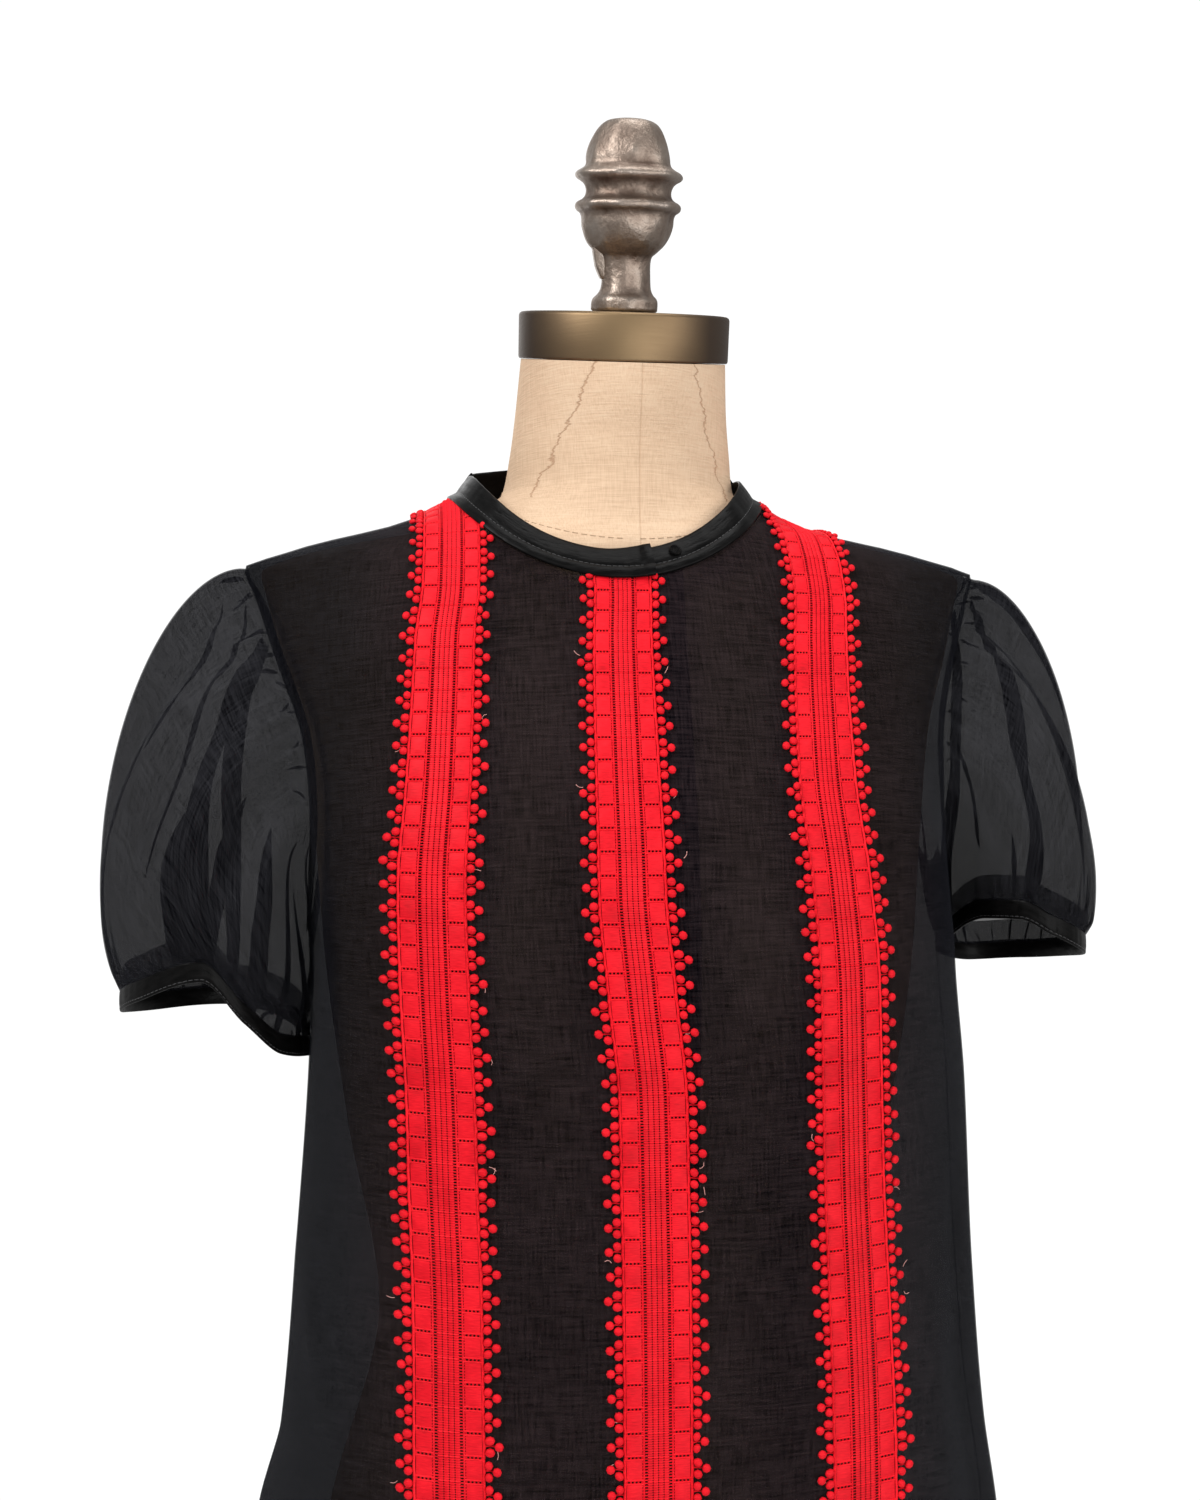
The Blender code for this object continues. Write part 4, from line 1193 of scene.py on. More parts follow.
HEAD_GATHERS = (34, 0.20, 0.0042)
CUFF_GATHERS = (38, 0.17, 0.0036)
HEAD_ALLOWANCE = ((0.007, 0.0012), (0.0035, 0.0010), (0.0004, 0.0006))
CUFF_ALLOWANCE = (0.0003, 0.0060, 0.0125)

print("tucks", {name: len(rows) for name, rows in TUCKS.items()})


# %% Armhole, cuff and the cloth between
def armhole_loop(side, turn):
    """The armhole's points and outward normals, from the underarm up the front and down the back."""
    height = UNDERARM[side] + (SHOULDER_TIP - UNDERARM[side]) * (1 - np.abs(1 - 2 * turn))
    apart = SEAM_GAP / 2 * np.clip(4 * np.abs(np.sin(2 * np.pi * turn)), 0, 1)
    loops = []
    for facing in (-1, 1):
        section = section_at(CLOTH_SECTIONS, height)
        angle = armhole_angles(side, facing, height)
        points = cloth_at(section["shift"] + section["half_width"] * np.sin(angle), height, facing)
        points[:, 1] += facing * apart
        loops.append((points, outward(points, facing)))
    front = (turn <= 0.5)[:, None]
    return [np.where(front, loops[0][k], loops[1][k]) for k in (0, 1)]


def cuff_loop(name, turn):
    """The cuff's lower edge, tilted as it hangs."""
    cuff = SLEEVE_CUFFS[name]
    (x, y), (wide, deep) = cuff["centre"], cuff["radii"]
    angle = 2 * np.pi * turn
    height = read_table(CUFF, CUFF_HEIGHTS, name, turn)
    return np.stack([x - cuff["side"] * wide * np.cos(angle), y - deep * np.sin(angle), height], axis=1)


def gathers(turn, share, random, count, reach, depth):
    """Small uneven puckers that run in from an edge and fade out: share is 0 at the edge."""
    total = np.zeros(np.broadcast(turn, share).shape)
    spots = (np.arange(count) + random.uniform(-0.35, 0.35, count)) / count
    for spot in spots:
        width = random.uniform(0.20, 0.42) / count
        length = reach * random.uniform(0.5, 1.5)
        slant = random.uniform(-0.02, 0.02)
        off = (turn - spot - slant * share + 0.5) % 1 - 0.5
        total += depth * random.uniform(0.5, 1.2) * np.exp(-((off / width) ** 2) - (share / length) ** 1.5)
    return total - 0.5 * depth * np.exp(-((share / reach) ** 1.5))


def sleeve_points(name, seed):
    random = np.random.default_rng(seed)
    side = SLEEVE_CUFFS[name]["side"]
    turn = np.arange(SLEEVE_STATIONS) / SLEEVE_STATIONS
    loop, normals = armhole_loop(side, turn)
    top = np.sin(np.pi * turn) ** 2
    start = loop + normals * HEAD_STEP
    leave = unit(np.stack([np.full_like(turn, side), 0.45 * normals[:, 1], -0.2 * top], axis=1))
    end = cuff_loop(name, turn) + (0, 0, CUFF_BAND - CUFF_STEP)
    radial = unit((end - end.mean(axis=0)) * (1, 1, 0))
    at_head, at_cuff = SLEEVE_CUFFS[name]["fullness"]
    out = at_head * read_table(PUFF, PUFF_SHAPE, "out", turn)[:, None]
    spread = at_cuff * read_table(PUFF, PUFF_SHAPE, "spread", turn)[:, None]
    hang = np.array((0, 0, 1)) * (PUFF_HANG * (start - end)[:, 2:])
    pulls = (start, start + leave * out, end + radial * spread + hang, end)
    s = np.linspace(0, 1, SLEEVE_ROWS + 1)[:, None, None]
    weights = ((1 - s) ** 3, 3 * s * (1 - s) ** 2, 3 * s**2 * (1 - s), s**3)
    rows = sum(weight * pull for weight, pull in zip(weights, pulls))
    share = s[..., 0]
    waves = np.sin(2 * np.pi * PUFF_FOLDS * turn + 2 * np.sin(2 * np.pi * turn))
    depth = PUFF_FOLD_DEPTH * waves * np.sqrt(top) * np.sin(np.pi * share)
    for row in named(SLEEVE_FOLD, SLEEVE_FOLDS[name]):
        along = (share - row["from_share"]) / (row["to_share"] - row["from_share"])
        middle = row["from_turn"] + (row["to_turn"] - row["from_turn"]) * along
        aside = (turn - middle) * CUFF_ROUND
        fade = np.sin(np.pi * np.clip(along, 0, 1)) ** 0.7
        depth = depth + FOLD_SCALE * row["depth"] * fade * np.exp(-((aside / row["width"]) ** 2))
    held = np.clip(share / 0.05, 0, 1) * np.clip((1 - share) / 0.04, 0, 1)
    depth = depth + held * top**0.4 * gathers(turn, share, random, *HEAD_GATHERS)
    depth = depth + held * gathers(turn, 1 - share, random, *CUFF_GATHERS)
    folded = rows + unit(rows - rows.mean(axis=1, keepdims=True)) * depth[..., None]
    inward = unit(np.cross(normals, np.roll(loop, -1, axis=0) - np.roll(loop, 1, axis=0)))
    inward *= np.sign((inward * leave).sum(axis=1, keepdims=True)) * -1
    inward *= 1 - 0.85 * np.exp(-(((turn - 0.5) / 0.06) ** 2))[:, None]
    tucked = [loop + inward * along - normals * under for along, under in HEAD_ALLOWANCE]
    turned_up = [folded[-1] - radial * CUFF_STEP + (0, 0, up) for up in CUFF_ALLOWANCE]
    return np.concatenate([tucked, folded, turned_up]).transpose(1, 0, 2)


print("sleeve grid ready")

# %% [markdown]
# Where the cloth doubles over, light goes through more layers and the sleeve is darker. Each tuck is
# a narrow second layer inside the sleeve, with a place, a width and an outline of its own, in a darker
# copy of the cloth whose dark colour is painted shade. Short pleats are caught in the seams, and a
# folded allowance is turned up at the cuff.


# %% Tucks and pleats
def pleats(random):
    """Rows for the short pleats that are caught in the head's seam and in the cuff."""
    rows = []
    for turn in (np.arange(PLEATS) + random.uniform(-0.3, 0.3, PLEATS)) / PLEATS:
        wide = PLEAT_HALF_WIDTH * random.uniform(0.6, 1.5)
        slant = random.normal(0, 0.008)
        if 0.12 < turn < 0.88:
            rows.append((turn, 0.0, turn + slant, random.uniform(0.03, 0.11), wide))
        rows.append((turn + slant, random.uniform(0.90, 0.97), turn, 1.0, wide))
    return rows


def waving(along, random):
    """The width of one side of a band, which waves along it."""
    slow = 0.16 * np.sin(random.uniform(4, 7) * along + random.uniform(0, 6))
    return 1 + slow + 0.05 * np.sin(random.uniform(14, 24) * along)


def tuck_mesh(points, tuck, cells, random):
    """A band where the cloth doubles over: a second layer that lies just inside the sleeve."""
    row = dict(zip(TUCK, tuck))
    along = np.linspace(0, 1, cells[0] + 1)[None]
    across = np.linspace(-1, 1, cells[1] + 1)[:, None]
    blunt = 0.35 if row["from_share"] < 0.05 else 0.04
    closing = 1 if row["to_share"] < 1 else 0.35
    taper = np.clip(blunt + 3 * along, 0, 1) * (1 - closing * along**3)
    sides = [waving(along, random) for _ in range(2)]
    width = row["half_width"] * taper * np.where(across < 0, sides[0], sides[1])
    turn = row["to_turn"] + (row["from_turn"] - row["to_turn"]) * (1 - along) ** 2 + across * width / CUFF_ROUND
    share = row["from_share"] + (row["to_share"] - row["from_share"]) * along + 0 * across
    up = np.clip(TUCKED_ROWS + share * SLEEVE_ROWS, TUCKED_ROWS, TUCKED_ROWS + SLEEVE_ROWS - 0.001)
    places = read_grid(points, turn * SLEEVE_STATIONS, up)
    inside = unit(points.mean(axis=(0, 1)) - places)
    return grid_mesh("tuck", places + inside * LAYER_STEP)


print("tucks and pleats ready")

# %% The two sleeves
sleeves = []
for seed, sleeve_name in enumerate(SLEEVE_CUFFS):
    points = sleeve_points(sleeve_name, 11 + seed)
    random = np.random.default_rng(21 + seed)
    tube = grid_mesh("tube", points, wrapped=True)
    tucks = [tuck_mesh(points, tuck, TUCK_CELLS, random) for tuck in TUCKS[sleeve_name]]
    tucks += [tuck_mesh(points, pleat, PLEAT_CELLS, random) for pleat in pleats(random)]
    name, folds_from = f"sleeve_cloth_{sleeve_name}", len(tube.polygons)
    whole = joined(name, [tube, *tucks])
    sleeves.append(cloth_piece(name, whole, LIT_SLEEVE_VOILE, f"sleeve_{sleeve_name}", folds_from))
print("sleeves", [triangles(sleeve) for sleeve in sleeves], "triangles")

# %% [markdown]
# ## Cuffs, collar and button
#
# The bands are strips of thin leather-like cloth, folded lengthwise over the raw edge and topstitched
# close to the seam. So each is a rounded flat tube. The collar's lower fold comes down over the
# neckline and holds the cut ends of the lace.

# %% Sizes of the bands
BAND_HALF = 0.0008
BAND_ANGLE = 70
CUFF_STATIONS = 240
STITCH_AT = 0.145
UPRIGHT = np.array((0.0, 0.0, 1.0))
BAND_OUTLINE = (
    *((0.000, 0.00), (0.015, 0.55), (0.060, 0.95), (0.110, 1.00), (0.145, 0.72), (0.180, 1.02)),
    *((0.350, 1.20), (0.600, 1.22), (0.850, 1.05), (0.945, 0.90), (0.985, 0.50), (1.000, 0.00)),
    *((0.985, -0.50), (0.940, -0.90), (0.500, -1.00), (0.060, -0.90), (0.015, -0.55), (0.000, 0.00)),
)

print(len(BAND_OUTLINE), "points round a band")


# %% Cuffs
def band_mesh(name, points, ring=False):
    """A flat tube on points by station and outline. A ring is closed, and any other has end caps."""
    if ring:
        points = np.concatenate([points, points[:1]])
    return closed(grid_mesh(name, points), fill=not ring)


def stitch_row(name, line, normals, thread, slot, pitch=0.0026, length=0.0018, radius=0.00017):
    """A row of short threads along a line of points."""
    run = lengths_along(line, 0)
    shape = bmesh.new()
    for at in np.arange(pitch, run[-1] - pitch, pitch):
        place, ahead = (read_along(at + step, run, line) for step in (0, pitch / 4))
        spot = Vector(place) + Vector(read_along(at, run, normals)).normalized() * radius * 0.2
        rod(shape, 6, (radius, radius * 0.7), length, stood(spot, ahead - place))
    return place_mesh(name, finished(shape, name), thread, slot)


def make_cuff(name, seed):
    random = np.random.default_rng(seed)
    turn = np.arange(CUFF_STATIONS) / CUFF_STATIONS
    lower = cuff_loop(name, turn)
    out = unit((lower - lower.mean(axis=0)) * (1, 1, 0))
    up, side = np.array(BAND_OUTLINE).T
    pucker = sum(
        random.uniform(0.2, 0.5) * np.sin(2 * np.pi * (turn * waves + random.uniform()))
        for waves in (23, 31, 44, 57)
    )
    bulge = BAND_HALF * side * (1 + 0.10 * pucker[:, None] * (side > 0))
    points = lower[:, None] + out[:, None] * bulge[..., None] + UPRIGHT * (CUFF_BAND * up)[None, :, None]
    mesh = band_mesh(f"cuff_cloth_{name}", points, ring=True)
    cuff = place_mesh(mesh.name, mesh, LEATHER_CLOTH, "black_leather_cloth", f"cuff_{name}", BAND_ANGLE)
    line = lower + UPRIGHT * STITCH_AT * CUFF_BAND + out * BAND_HALF * 0.8
    line, out = (np.concatenate([part, part[:1]]) for part in (line, out))
    stitch_row(f"cuff_stitches_{name}", line, out, BLACK_THREAD, "black_leather_cloth")
    return cuff


cuffs = [make_cuff(name, 31 + seed) for seed, name in enumerate(SLEEVE_CUFFS)]
print("cuffs", [triangles(cuff) for cuff in cuffs], "triangles")

# %% Tables of the collar
COLLAR_HEIGHT = 0.0125
COLLAR_STATIONS = 420
COLLAR_ENDS = {"under": -0.0185, "over": 0.0065}
COLLAR_LAP = 0.0021
COLLAR_STEP = 0.0023
COLLAR_CURL = 0.0020
COLLAR_LIFT = 0.16
COLLAR_ROLL = ((-0.0006, 0.0000), (0.0010, 0.0004), (0.0016, 0.0010), (0.0015, 0.0019), (0.0006, 0.0024))
COLLAR = ("turn", "lean", "slope")
COLLAR_ANGLES = (
    (0, 34, 80),
    (50, 38, 66),
    (90, 34, 44),
    (120, 24, 62),
    (150, 17, 76),
    (180, 15, 80),
    (210, 17, 76),
    (240, 24, 62),
    (270, 36, 44),
    (310, 38, 66),
    (360, 34, 80),
)

print("collar", COLLAR_HEIGHT, "m high")


# %% Collar
def neckline(turn):
    """Points of the neckline: a turn runs from the front over the right side."""
    sin, cos = np.sin(turn), np.cos(turn)
    x = NECK_CENTRE + NECK_RADIUS * sin
    front, back = (cloth_at(x, neckline_height(x, facing), facing) for facing in (-1, 1))
    return np.where(cos[..., None] > 0, front, back), np.stack([sin, -cos, np.zeros_like(sin)], axis=-1)


def collar_frame(turn):
    """The collar's seam, its base, its way up, its normal, the way down the cloth, and the way off it."""
    edge, out = neckline(turn)
    degrees = np.degrees(turn) % 360
    lean, slope = (np.radians(read_table(COLLAR, COLLAR_ANGLES, name, degrees)) for name in COLLAR[1:])
    lean, slope = lean[..., None], slope[..., None]
    lap = smooth_step(turn, 1.5 * np.pi, 1.86 * np.pi)[..., None] * COLLAR_LAP
    lap = lap + COLLAR_CURL * smooth_step(turn, 2 * np.pi + 0.02, 2 * np.pi + 0.26)[..., None]
    base = edge + COLLAR_STEP * (UPRIGHT * np.sin(slope) - out * np.cos(slope)) + out * lap
    rise = UPRIGHT * np.cos(lean) - out * np.sin(lean)
    normal = out * np.cos(lean) + UPRIGHT * np.sin(lean)
    down = out * np.cos(slope) - UPRIGHT * np.sin(slope)
    off = out * np.sin(slope) + UPRIGHT * np.cos(slope)
    return edge + out * lap * 0.8, base, rise, normal, down, off


def collar_turn(x):
    return math.asin((x - NECK_CENTRE) / NECK_RADIUS)


def make_collar():
    first = collar_turn(COLLAR_ENDS["under"])
    last = 2 * math.pi + collar_turn(COLLAR_ENDS["over"])
    turn = np.linspace(first, last, COLLAR_STATIONS)
    edge, base, rise, normal, down, off = (part[:, None] for part in collar_frame(turn))
    random = np.random.default_rng(5)
    ripple = sum(
        random.uniform(0.2, 0.5) * np.sin(turn * waves + random.uniform(0, 6)) for waves in (37, 53, 71, 97)
    )
    up, side = np.array([(up, side) for up, side in BAND_OUTLINE if up > 0.10 or side < -0.5]).T
    folded = smooth_step(turn, last - 0.075, last - 0.035) * smooth_step(last + 0.02 - turn, 0, 0.03)
    bulge = BAND_HALF * side * (1 + 0.09 * ripple[:, None] * (side > 0)) * (1 + 0.9 * folded[:, None])
    lift = 1 + COLLAR_LIFT * smooth_step(turn, last - 0.32, last)[:, None, None]
    body = base + rise * (COLLAR_HEIGHT * up)[None, :, None] * lift + normal * bulge[..., None]
    roll = [edge + down * along + off * out for along, out in COLLAR_ROLL]
    mesh = band_mesh("collar_cloth", np.concatenate([*roll, body, roll[0]], axis=1))
    piece = place_mesh(mesh.name, mesh, LEATHER_CLOTH, "black_leather_cloth", "collar_band", BAND_ANGLE)
    line = (base + rise * STITCH_AT * COLLAR_HEIGHT + normal * BAND_HALF * 0.8)[:, 0]
    stitch_row("collar_stitches", line, normal[:, 0], BLACK_THREAD, "black_leather_cloth")
    return piece


collar = make_collar()
print("collar", triangles(collar), "triangles")

# %% [markdown]
# Turned pieces are spun from their profile. The button's and the finial's profiles first have their corners
# rounded by cutting them twice.

# %% Turned pieces and the button
def softened(profile):
    """A profile with its corners cut twice. Its two ends stay."""
    line = np.array(profile, float)
    for _ in range(2):
        low, high = line[:-1] * 0.75 + line[1:] * 0.25, line[:-1] * 0.25 + line[1:] * 0.75
        inner = np.stack([low, high], axis=1).reshape(-1, 2)
        line = np.concatenate([line[:1], inner[1:-1], line[-1:]])
    return line


def turned(name, profile, material, slot, stands_for, place=Matrix(), steps=96, sharp=40):
    """A turned piece: its profile runs from the top of its axis down its outer side."""
    shape = bmesh.new()
    verts = [shape.verts.new((radius, 0, height)) for radius, height in profile]
    edges = [shape.edges.new(pair) for pair in zip(verts, verts[1:])]
    full = {"axis": (0, 0, 1), "cent": (0, 0, 0), "angle": 2 * math.pi, "use_merge": True}
    bmesh.ops.spin(shape, geom=verts + edges, steps=steps, **full)
    bmesh.ops.remove_doubles(shape, verts=shape.verts[:], dist=DOUBLES)
    bmesh.ops.recalc_face_normals(shape, faces=shape.faces[:])
    bmesh.ops.transform(shape, matrix=place, verts=shape.verts[:])
    return place_mesh(name, finished(shape, name), material, slot, stands_for, sharp)


BUTTON_AT = 0.019
BUTTON_PROFILE = (
    *((0.0000, 0.00100), (0.0010, 0.00095), (0.0017, 0.00060), (0.0020, 0.00055), (0.0023, 0.00100)),
    *((0.0027, 0.00125), (0.0030, 0.00100), (0.0031, 0.00050), (0.0030, -0.00020), (0.0000, -0.00020)),
)
_, base, rise, normal, _, _ = (part[0] for part in collar_frame(np.array([collar_turn(BUTTON_AT)])))
button_place = stood(base + rise * COLLAR_HEIGHT * 0.5 + normal * BAND_HALF * 1.2, normal)
button_values = {"stands_for": "collar_button", "place": button_place, "steps": 40}
button = turned("button_cover", softened(BUTTON_PROFILE), LEATHER_CLOTH, "black_leather_cloth", **button_values)
button.data.uv_layers.new(name="UVMap")
print("button", triangles(button), "triangles")

# %% [markdown]
# ## Dress form
#
# The torso and neck are a padded shell under a tight linen cover. Its plain weave is coarse, with
# slubs both ways. A seam runs down the front, another goes round the foot of the neck, and two thin
# old cracks of glue show through the cloth on the neck.

# %% Materials of the form
LINEN_TONES = ((0.34, (0.58, 0.395, 0.258)), (0.52, (0.71, 0.505, 0.342)), (0.68, (0.775, 0.585, 0.41)))
BRASS_TARNISH_AND_SIDE_SHADE = ((0.12, (0.27, 0.185, 0.100)), (0.50, (0.22, 0.148, 0.082)), (0.88, (0.080, 0.055, 0.038)))
CAST_TONES = ((0.29, (0.11, 0.070, 0.052)), (0.46, (0.32, 0.255, 0.21)), (0.70, (0.50, 0.44, 0.39)))
PAINT_TONES = ((0.35, (0.024, 0.024, 0.026)), (0.70, (0.040, 0.039, 0.040)))
CRACK_WOBBLE = 0.014
CRACKS = ((-0.0262, 0.48, 0.00045), (0.0345, -0.33, 0.00040))
CRACKS_FROM = 0.862
CRACKS_ABOVE = 0.82
FRONT_SEAM = 0.0030
BRASS_LIT_MIDDLE = -0.006


def make_linen():
    finish = Finish("linen", Roughness=0.85, Specular_IOR_Level=0.2)
    place = finish.add("TexCoord", output="Object")
    x, y, z = finish.axes(place)
    warp = finish.stretched(place, (1600, 1600, 60), detail=2)
    weft = finish.stretched(place, (90, 90, 1500), detail=2)
    weave = finish.math("ADD", warp, weft)
    cloudy = finish.add("TexNoise", Vector=place, Scale=16.0, Detail=5.0, Roughness=0.6)
    wobble = finish.math("SUBTRACT", finish.stretched(place, (30, 30, 130), detail=5, roughness=0.65), 0.5)
    above = finish.math("SUBTRACT", z, CRACKS_FROM)
    cracks = []
    for start, slope, width in CRACKS:
        line = finish.math("ADD", start, finish.weigh((above, slope), (wobble, CRACK_WOBBLE)))
        cracks.append(finish.near(x, line, width * 2))
    high = finish.math("GREATER_THAN", z, CRACKS_ABOVE)
    marks = finish.math("MULTIPLY", finish.math("MULTIPLY", finish.math("MAXIMUM", *cracks), high), 0.75)
    seam = finish.math("MULTIPLY", finish.near(x, FRONT_SEAM, 0.0007), 0.35)
    shade = finish.math("MULTIPLY", finish.math("LESS_THAN", y, 0.0), finish.math("MAXIMUM", marks, seam))
    base = finish.ramp(finish.weigh((weave, 0.30), (cloudy, 0.45)), *LINEN_TONES)
    flush = finish.math("SUBTRACT", 1.0, shade)
    return finish.dressed(
        Base_Color=finish.mixed(shade, base, (0.42, 0.24, 0.14, 1)),
        Normal=finish.bump(flush, 0.0006, 0.6, finish.bump(weave, 0.00035, 0.7)),
    )


def make_brass():
    finish = Finish("brushed_brass", Metallic=0.9)
    place = finish.add("TexCoord", output="Object")
    brushed = finish.stretched(place, (60, 60, 2600), detail=3)
    tarnish = finish.add("TexNoise", Vector=place, Scale=22.0, Detail=6.0, Roughness=0.6)
    # The colour darkens with the distance in x from the cap's middle: painted light in the middle and painted
    # shade on the left and right sides, over random tarnish.
    aside = finish.math("ABSOLUTE", finish.math("SUBTRACT", finish.axes(place)[0], BRASS_LIT_MIDDLE))
    return finish.dressed(
        Base_Color=finish.ramp(finish.weigh((aside, 19.0), (tarnish, 0.18)), *BRASS_TARNISH_AND_SIDE_SHADE),
        Roughness=finish.math("ADD", 0.42, finish.math("MULTIPLY", brushed, 0.16)),
        Normal=finish.bump(brushed, 0.0001, 0.3),
    )


def make_cast_metal():
    finish = Finish("cast_metal", Metallic=1.0)
    place = finish.add("TexCoord", output="Object")
    pits = finish.add("TexNoise", Vector=place, Scale=420.0, Detail=4.0, Roughness=0.6)
    patches = finish.add("TexNoise", Vector=place, Scale=70.0, Detail=6.0, Roughness=0.65)
    # Colour and roughness follow noise patches and pointiness: darker in hollows, lighter on raised edges.
    edge = finish.math("SUBTRACT", finish.add("NewGeometry", output="Pointiness"), 0.44)
    patches_and_pointiness = finish.weigh((patches, 0.55), (edge, 2.6))
    return finish.dressed(
        Base_Color=finish.ramp(patches_and_pointiness, *CAST_TONES),
        Roughness=finish.ramp(patches_and_pointiness, (0.25, 0.58), (0.75, 0.32)),
        Normal=finish.bump(patches, 0.0018, 0.8, finish.bump(pits, 0.0003, 0.6)),
    )


def make_paint():
    finish = Finish("painted_steel", Specular_IOR_Level=0.5)
    place = finish.add("TexCoord", output="Object")
    orange_peel = finish.add("TexNoise", Vector=place, Scale=350.0, Detail=2.0)
    dust = finish.add("TexNoise", Vector=place, Scale=30.0, Detail=6.0)
    return finish.dressed(
        Base_Color=finish.ramp(dust, *PAINT_TONES),
        Roughness=finish.ramp(dust, (0.3, 0.36), (0.7, 0.5)),
        Normal=finish.bump(orange_peel, 0.0001, 0.2),
    )


LINEN, BRASS, CAST_METAL, PAINT = make_linen(), make_brass(), make_cast_metal(), make_paint()
print("form materials:", LINEN.name, BRASS.name, CAST_METAL.name, PAINT.name)

# %% Tables of the form
NECK_TOP = 0.8913
NECK_TOP_Y = -0.012
NECK_LEAN = math.radians(14)
LEAN_FROM = 0.840
FORM_FOOT = 0.14
FORM_SHOULDERS = 0.78
FORM_STATIONS = 176
NECK_SEAM_HALF = 0.066
NECK_SEAM_FRONT = 0.7985
NECK_SEAM_RISE = 0.0178
NECK_SEAM_BOW = 0.006
BUST_OUT = 0.014
BUST_AT = (0.075, 0.600)
BUST_SPREAD = (0.045, 0.050)
FORM_SECTIONS = (
    (0.1400, 0.1460, -0.0880, 0.1060, 0.006, 2.20, 0.0),
    (0.2250, 0.1630, -0.0980, 0.1200, 0.008, 2.20, 0.0),
    (0.3300, 0.1430, -0.0920, 0.1060, 0.006, 2.20, 0.0),
    (0.4300, 0.1190, -0.0860, 0.0820, 0.000, 2.20, 0.0),
    (0.5200, 0.1340, -0.0980, 0.0880, 0.000, 2.20, 0.0),
    (0.6000, 0.1450, -0.1080, 0.0980, 0.000, 2.20, 0.0),
    (0.6600, 0.1500, -0.1040, 0.1040, 0.002, 2.20, 0.0),
    (0.7100, 0.1560, -0.0900, 0.1060, 0.004, 2.20, 0.0),
    (0.7450, 0.1660, -0.0770, 0.1030, 0.006, 2.10, 0.0),
    (0.7750, 0.1740, -0.0630, 0.0930, 0.009, 2.00, 0.0),
    (0.7870, 0.1768, -0.0565, 0.0865, 0.010, 1.90, 0.0),
    (0.7940, 0.1630, -0.0560, 0.0845, 0.011, 1.80, 0.0),
    (0.7990, 0.1450, -0.0550, 0.0810, 0.012, 1.80, 0.0),
    (0.8090, 0.0955, -0.0525, 0.0760, 0.015, 1.85, 0.0),
    (0.8188, 0.0725, -0.0515, 0.0715, 0.017, 2.00, 0.0),
    (0.8280, 0.0585, -0.0512, 0.0665, 0.014, 2.10, 0.0),
    (0.8450, 0.0550, -0.0530, 0.0600, 0.005, 2.10, 0.0),
    (0.8650, 0.0525, -0.0570, 0.0540, -0.001, 2.05, 0.0),
    (0.8913, 0.0502, -0.0620, 0.0380, -0.012, 2.00, 0.0),
)

print(len(FORM_SECTIONS), "sections of the form")


# %% The form
def form_at(angle, height):
    """Points of the form: an angle of 0 is the front's middle."""
    section = section_at(FORM_SECTIONS, height)
    sin, cos = np.sin(angle), np.cos(angle)
    x = section["half_width"] * np.sign(sin) * np.abs(sin) ** (2 / section["roundness"])
    extent = np.where(cos > 0, section["front"], section["back"]) - section["ridge"]
    y = section["ridge"] + extent * np.abs(cos) ** (2 / section["roundness"])
    across = (np.abs(x) - BUST_AT[0]) / BUST_SPREAD[0]
    above = (height - BUST_AT[1]) / BUST_SPREAD[1]
    y = y - BUST_OUT * np.exp(-(across**2) - above**2) * np.clip(cos, 0, 1)
    lean = math.tan(NECK_LEAN) * smooth_step(height, LEAN_FROM, NECK_TOP)
    return np.stack([x, y, height + lean * (y - section["ridge"])], axis=-1)


def make_form():
    angle = (2 * np.pi * np.arange(FORM_STATIONS) / FORM_STATIONS)[:, None]
    body = np.linspace(FORM_FOOT, FORM_SHOULDERS, 90)
    height = np.concatenate([body, np.linspace(FORM_SHOULDERS, NECK_TOP, 70)[1:]])
    mesh = closed(grid_mesh("form_cover", form_at(angle, height[None]), wrapped=True))
    return place_mesh("form_cover", mesh, LINEN, "linen", "form_torso", RIM_ANGLE)


def neck_seam():
    """Points and normals of the seam round the foot of the neck."""
    turn = np.linspace(0, 2 * np.pi, 400)
    x = NECK_SEAM_HALF * np.sin(turn)
    height = NECK_SEAM_FRONT + NECK_SEAM_RISE * (1 - np.cos(turn)) + NECK_SEAM_BOW * np.sin(turn) ** 2
    section = section_at(FORM_SECTIONS, height)
    angle = np.arcsin(np.clip(np.abs(x) / section["half_width"], 0, 1) ** (section["roundness"] / 2))
    angle = np.where(np.cos(turn) > 0, angle, np.pi - angle) * np.where(x < 0, -1, 1)
    points = form_at(angle, height)
    return points, unit((points - points.mean(axis=0)) * (1, 1, 0))


form = make_form()
seam_thread = make_thread("seam_thread", (0.50, 0.34, 0.22), 0.8)
stitch_row("neck_seam_stitches", *neck_seam(), seam_thread, "linen", 0.0042, 0.0026, 0.00030)
print("form", triangles(form), "triangles")

# %% [markdown]
# The cap is spun from brass sheet; its colour is painted lighter in the middle and darker towards its
# left and right sides, as painted light and shade. The finial is a rough casting with two worn rings; a
# thin web is left on its side by the mould.

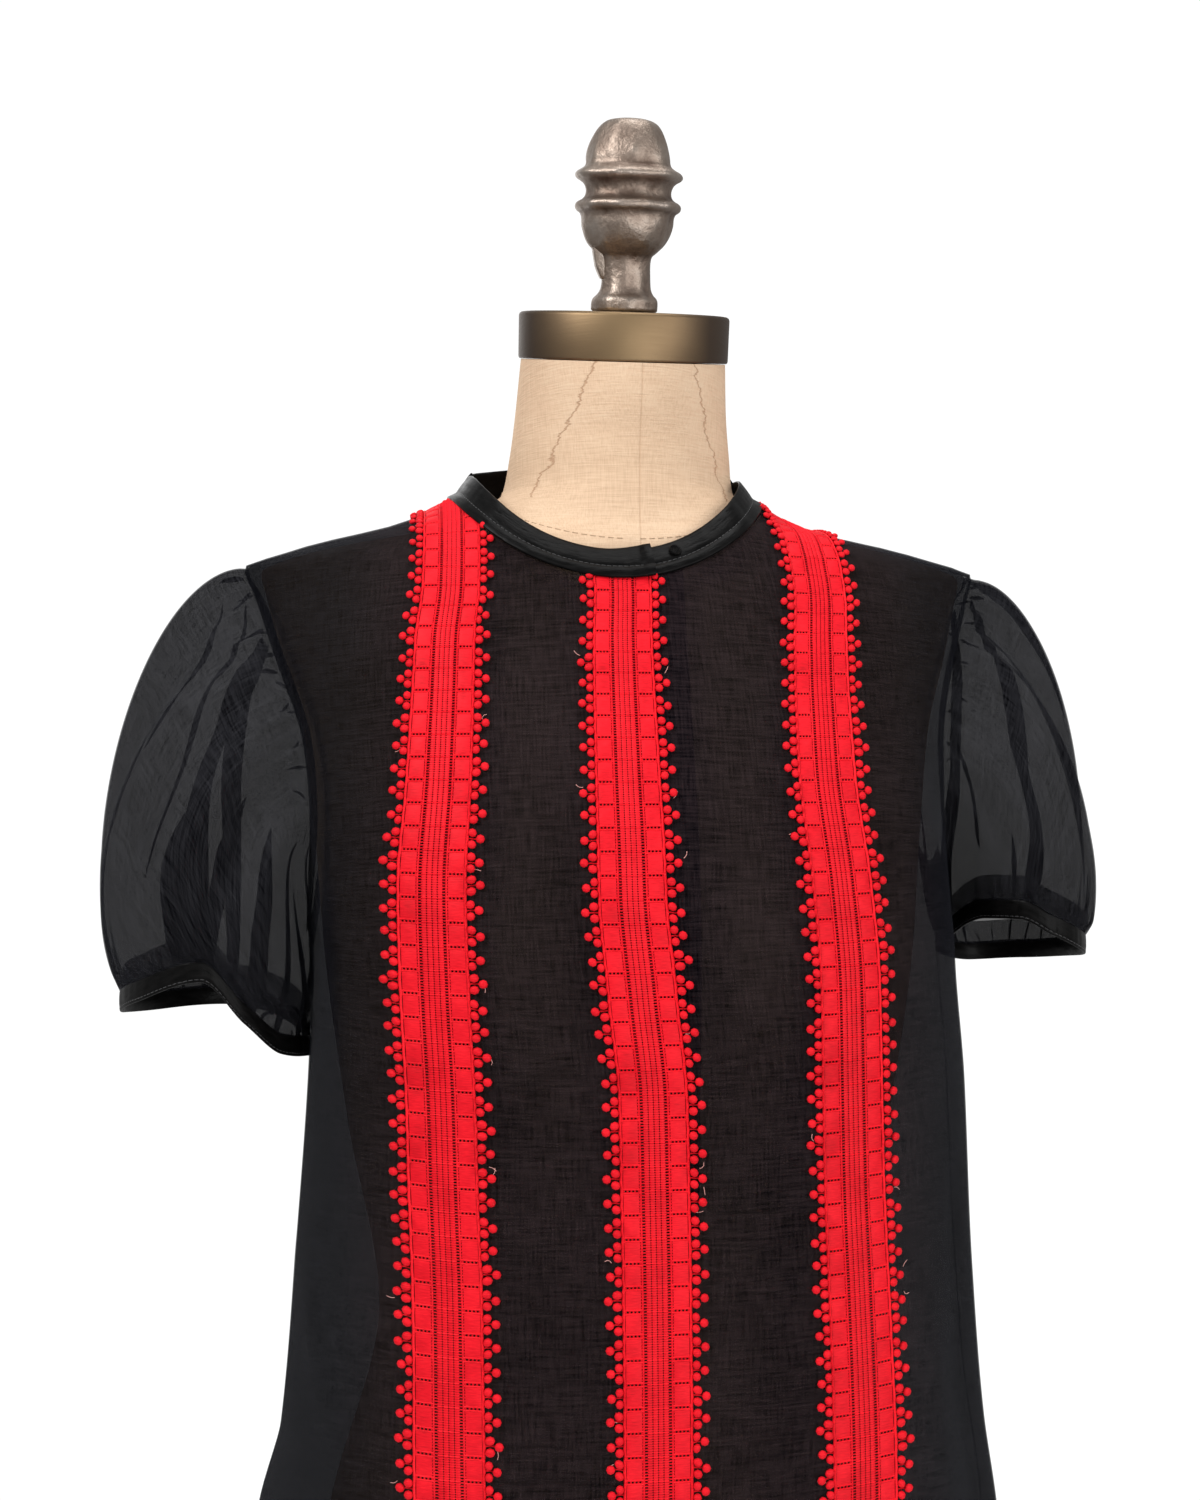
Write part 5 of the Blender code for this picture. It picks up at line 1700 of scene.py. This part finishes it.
# %% Cap, finial and stand
REST_GAP = 0.0003
CAP_RADIUS = 0.0515
CAP_HEIGHT = 0.0222
CAP_PROFILE = (
    *((0.0, CAP_HEIGHT), (0.0488, CAP_HEIGHT), (0.0502, 0.0220), (0.0511, 0.0214), (CAP_RADIUS, 0.0204)),
    *((CAP_RADIUS, 0.0012), (0.0513, 0.0004), (0.0508, 0.0), (0.0, 0.0)),
)
FINIAL_PROFILE = (
    *((0.0000, 0.0893), (0.0100, 0.0890), (0.0145, 0.0862), (0.0180, 0.0795), (0.0202, 0.0725)),
    *((0.0202, 0.0684), (0.0216, 0.0668), (0.0256, 0.0646), (0.0256, 0.0620), (0.0214, 0.0600)),
    *((0.0200, 0.0563), (0.0212, 0.0528), (0.0256, 0.0508), (0.0256, 0.0480), (0.0222, 0.0462)),
    *((0.0222, 0.0400), (0.0196, 0.0330), (0.0150, 0.0285), (0.0118, 0.0262), (0.0118, 0.0130)),
    *((0.0132, 0.0092), (0.0160, 0.0068), (0.0163, 0.0040), (0.0160, 0.0), (0.0, 0.0)),
)
DENTS = ((0.018, 3, 150), (0.012, 7, -260), (0.008, 11, 70))
WEB_OUTLINE = (
    *((-0.0040, 0.0410), (-0.0165, 0.0400), (-0.0172, 0.0370), (-0.0166, 0.0300)),
    *((-0.0150, 0.0215), (-0.0125, 0.0160), (-0.0040, 0.0140)),
)
WEB_FROM = -0.0052
WEB_THICK = 0.0090
WEB_ROUND = 0.0012
POLE_PROFILE = (
    *((0.0, 0.1397), (0.0120, 0.1397), (0.0125, 0.1390)),
    *((0.0125, 0.0190), (0.0120, 0.0183), (0.0, 0.0183)),
)
BASE_PROFILE = (
    *((0.0, 0.0180), (0.0290, 0.0180), (0.0310, 0.0178), (0.0700, 0.0165), (0.1100, 0.0125)),
    *((0.1320, 0.0090), (0.1385, 0.0060), (0.1400, 0.0030), (0.1400, 0.0004), (0.1396, 0.0), (0.0, 0.0)),
)
neck_place = Matrix.Translation((0, NECK_TOP_Y, NECK_TOP)) @ Matrix.Rotation(NECK_LEAN, 4, "X")
cap_place = neck_place @ Matrix.Translation((0, 0, REST_GAP))
finial_place = neck_place @ Matrix.Translation((0, 0, 2 * REST_GAP + CAP_HEIGHT))


def dented(co):
    """A place on the finial, moved with the casting's dents."""
    spot = finial_place.inverted() @ co
    turn = math.atan2(spot.y, spot.x)
    dent = sum(size * math.sin(around * turn + along * spot.z) for size, around, along in DENTS)
    return finial_place @ Vector((spot.x * (1 + dent), spot.y * (1 + dent), spot.z))


def make_finial():
    """The turned body and the mould's web in one mesh."""
    profile = softened(FINIAL_PROFILE)
    body = turned("finial_casting", profile, CAST_METAL, "cast_metal", "finial", finial_place, sharp=60)
    shape = shape_of(body.data)
    for vert in shape.verts:
        vert.co = dented(vert.co)
    near = [shape.verts.new((x, WEB_FROM, z)) for x, z in WEB_OUTLINE]
    grown = bmesh.ops.extrude_face_region(shape, geom=[shape.faces.new(near)])["geom"]
    far = [part for part in grown if isinstance(part, bmesh.types.BMVert)]
    bmesh.ops.translate(shape, verts=far, vec=(0, WEB_THICK, 0))
    rim = {edge for vert in near + far for edge in vert.link_edges}
    bevel = {"offset": WEB_ROUND, "offset_type": "OFFSET", "segments": 3, "profile": 0.5, "material": -1}
    bmesh.ops.bevel(shape, geom=list(rim), affect="EDGES", **bevel)
    added = [vert for vert in shape.verts if vert.index >= len(body.data.vertices) or vert.index < 0]
    bmesh.ops.transform(shape, matrix=finial_place, verts=added)
    bmesh.ops.recalc_face_normals(shape, faces=shape.faces[:])
    finished(shape, body.data).shade_smooth()
    body.data.set_sharp_from_angle(angle=math.radians(60))
    return body


cap = turned("cap_spun", CAP_PROFILE, BRASS, "brushed_brass", "neck_cap", cap_place, steps=160, sharp=60)
finial = make_finial()
pole = turned("pole_tube", POLE_PROFILE, PAINT, "painted_steel", "stand_pole", steps=64)
base = turned("base_plate", BASE_PROFILE, PAINT, "painted_steel", "stand_base", steps=160, sharp=60)
print("cap, finial, pole, base:", [triangles(piece) for piece in (cap, finial, pole, base)], "triangles")
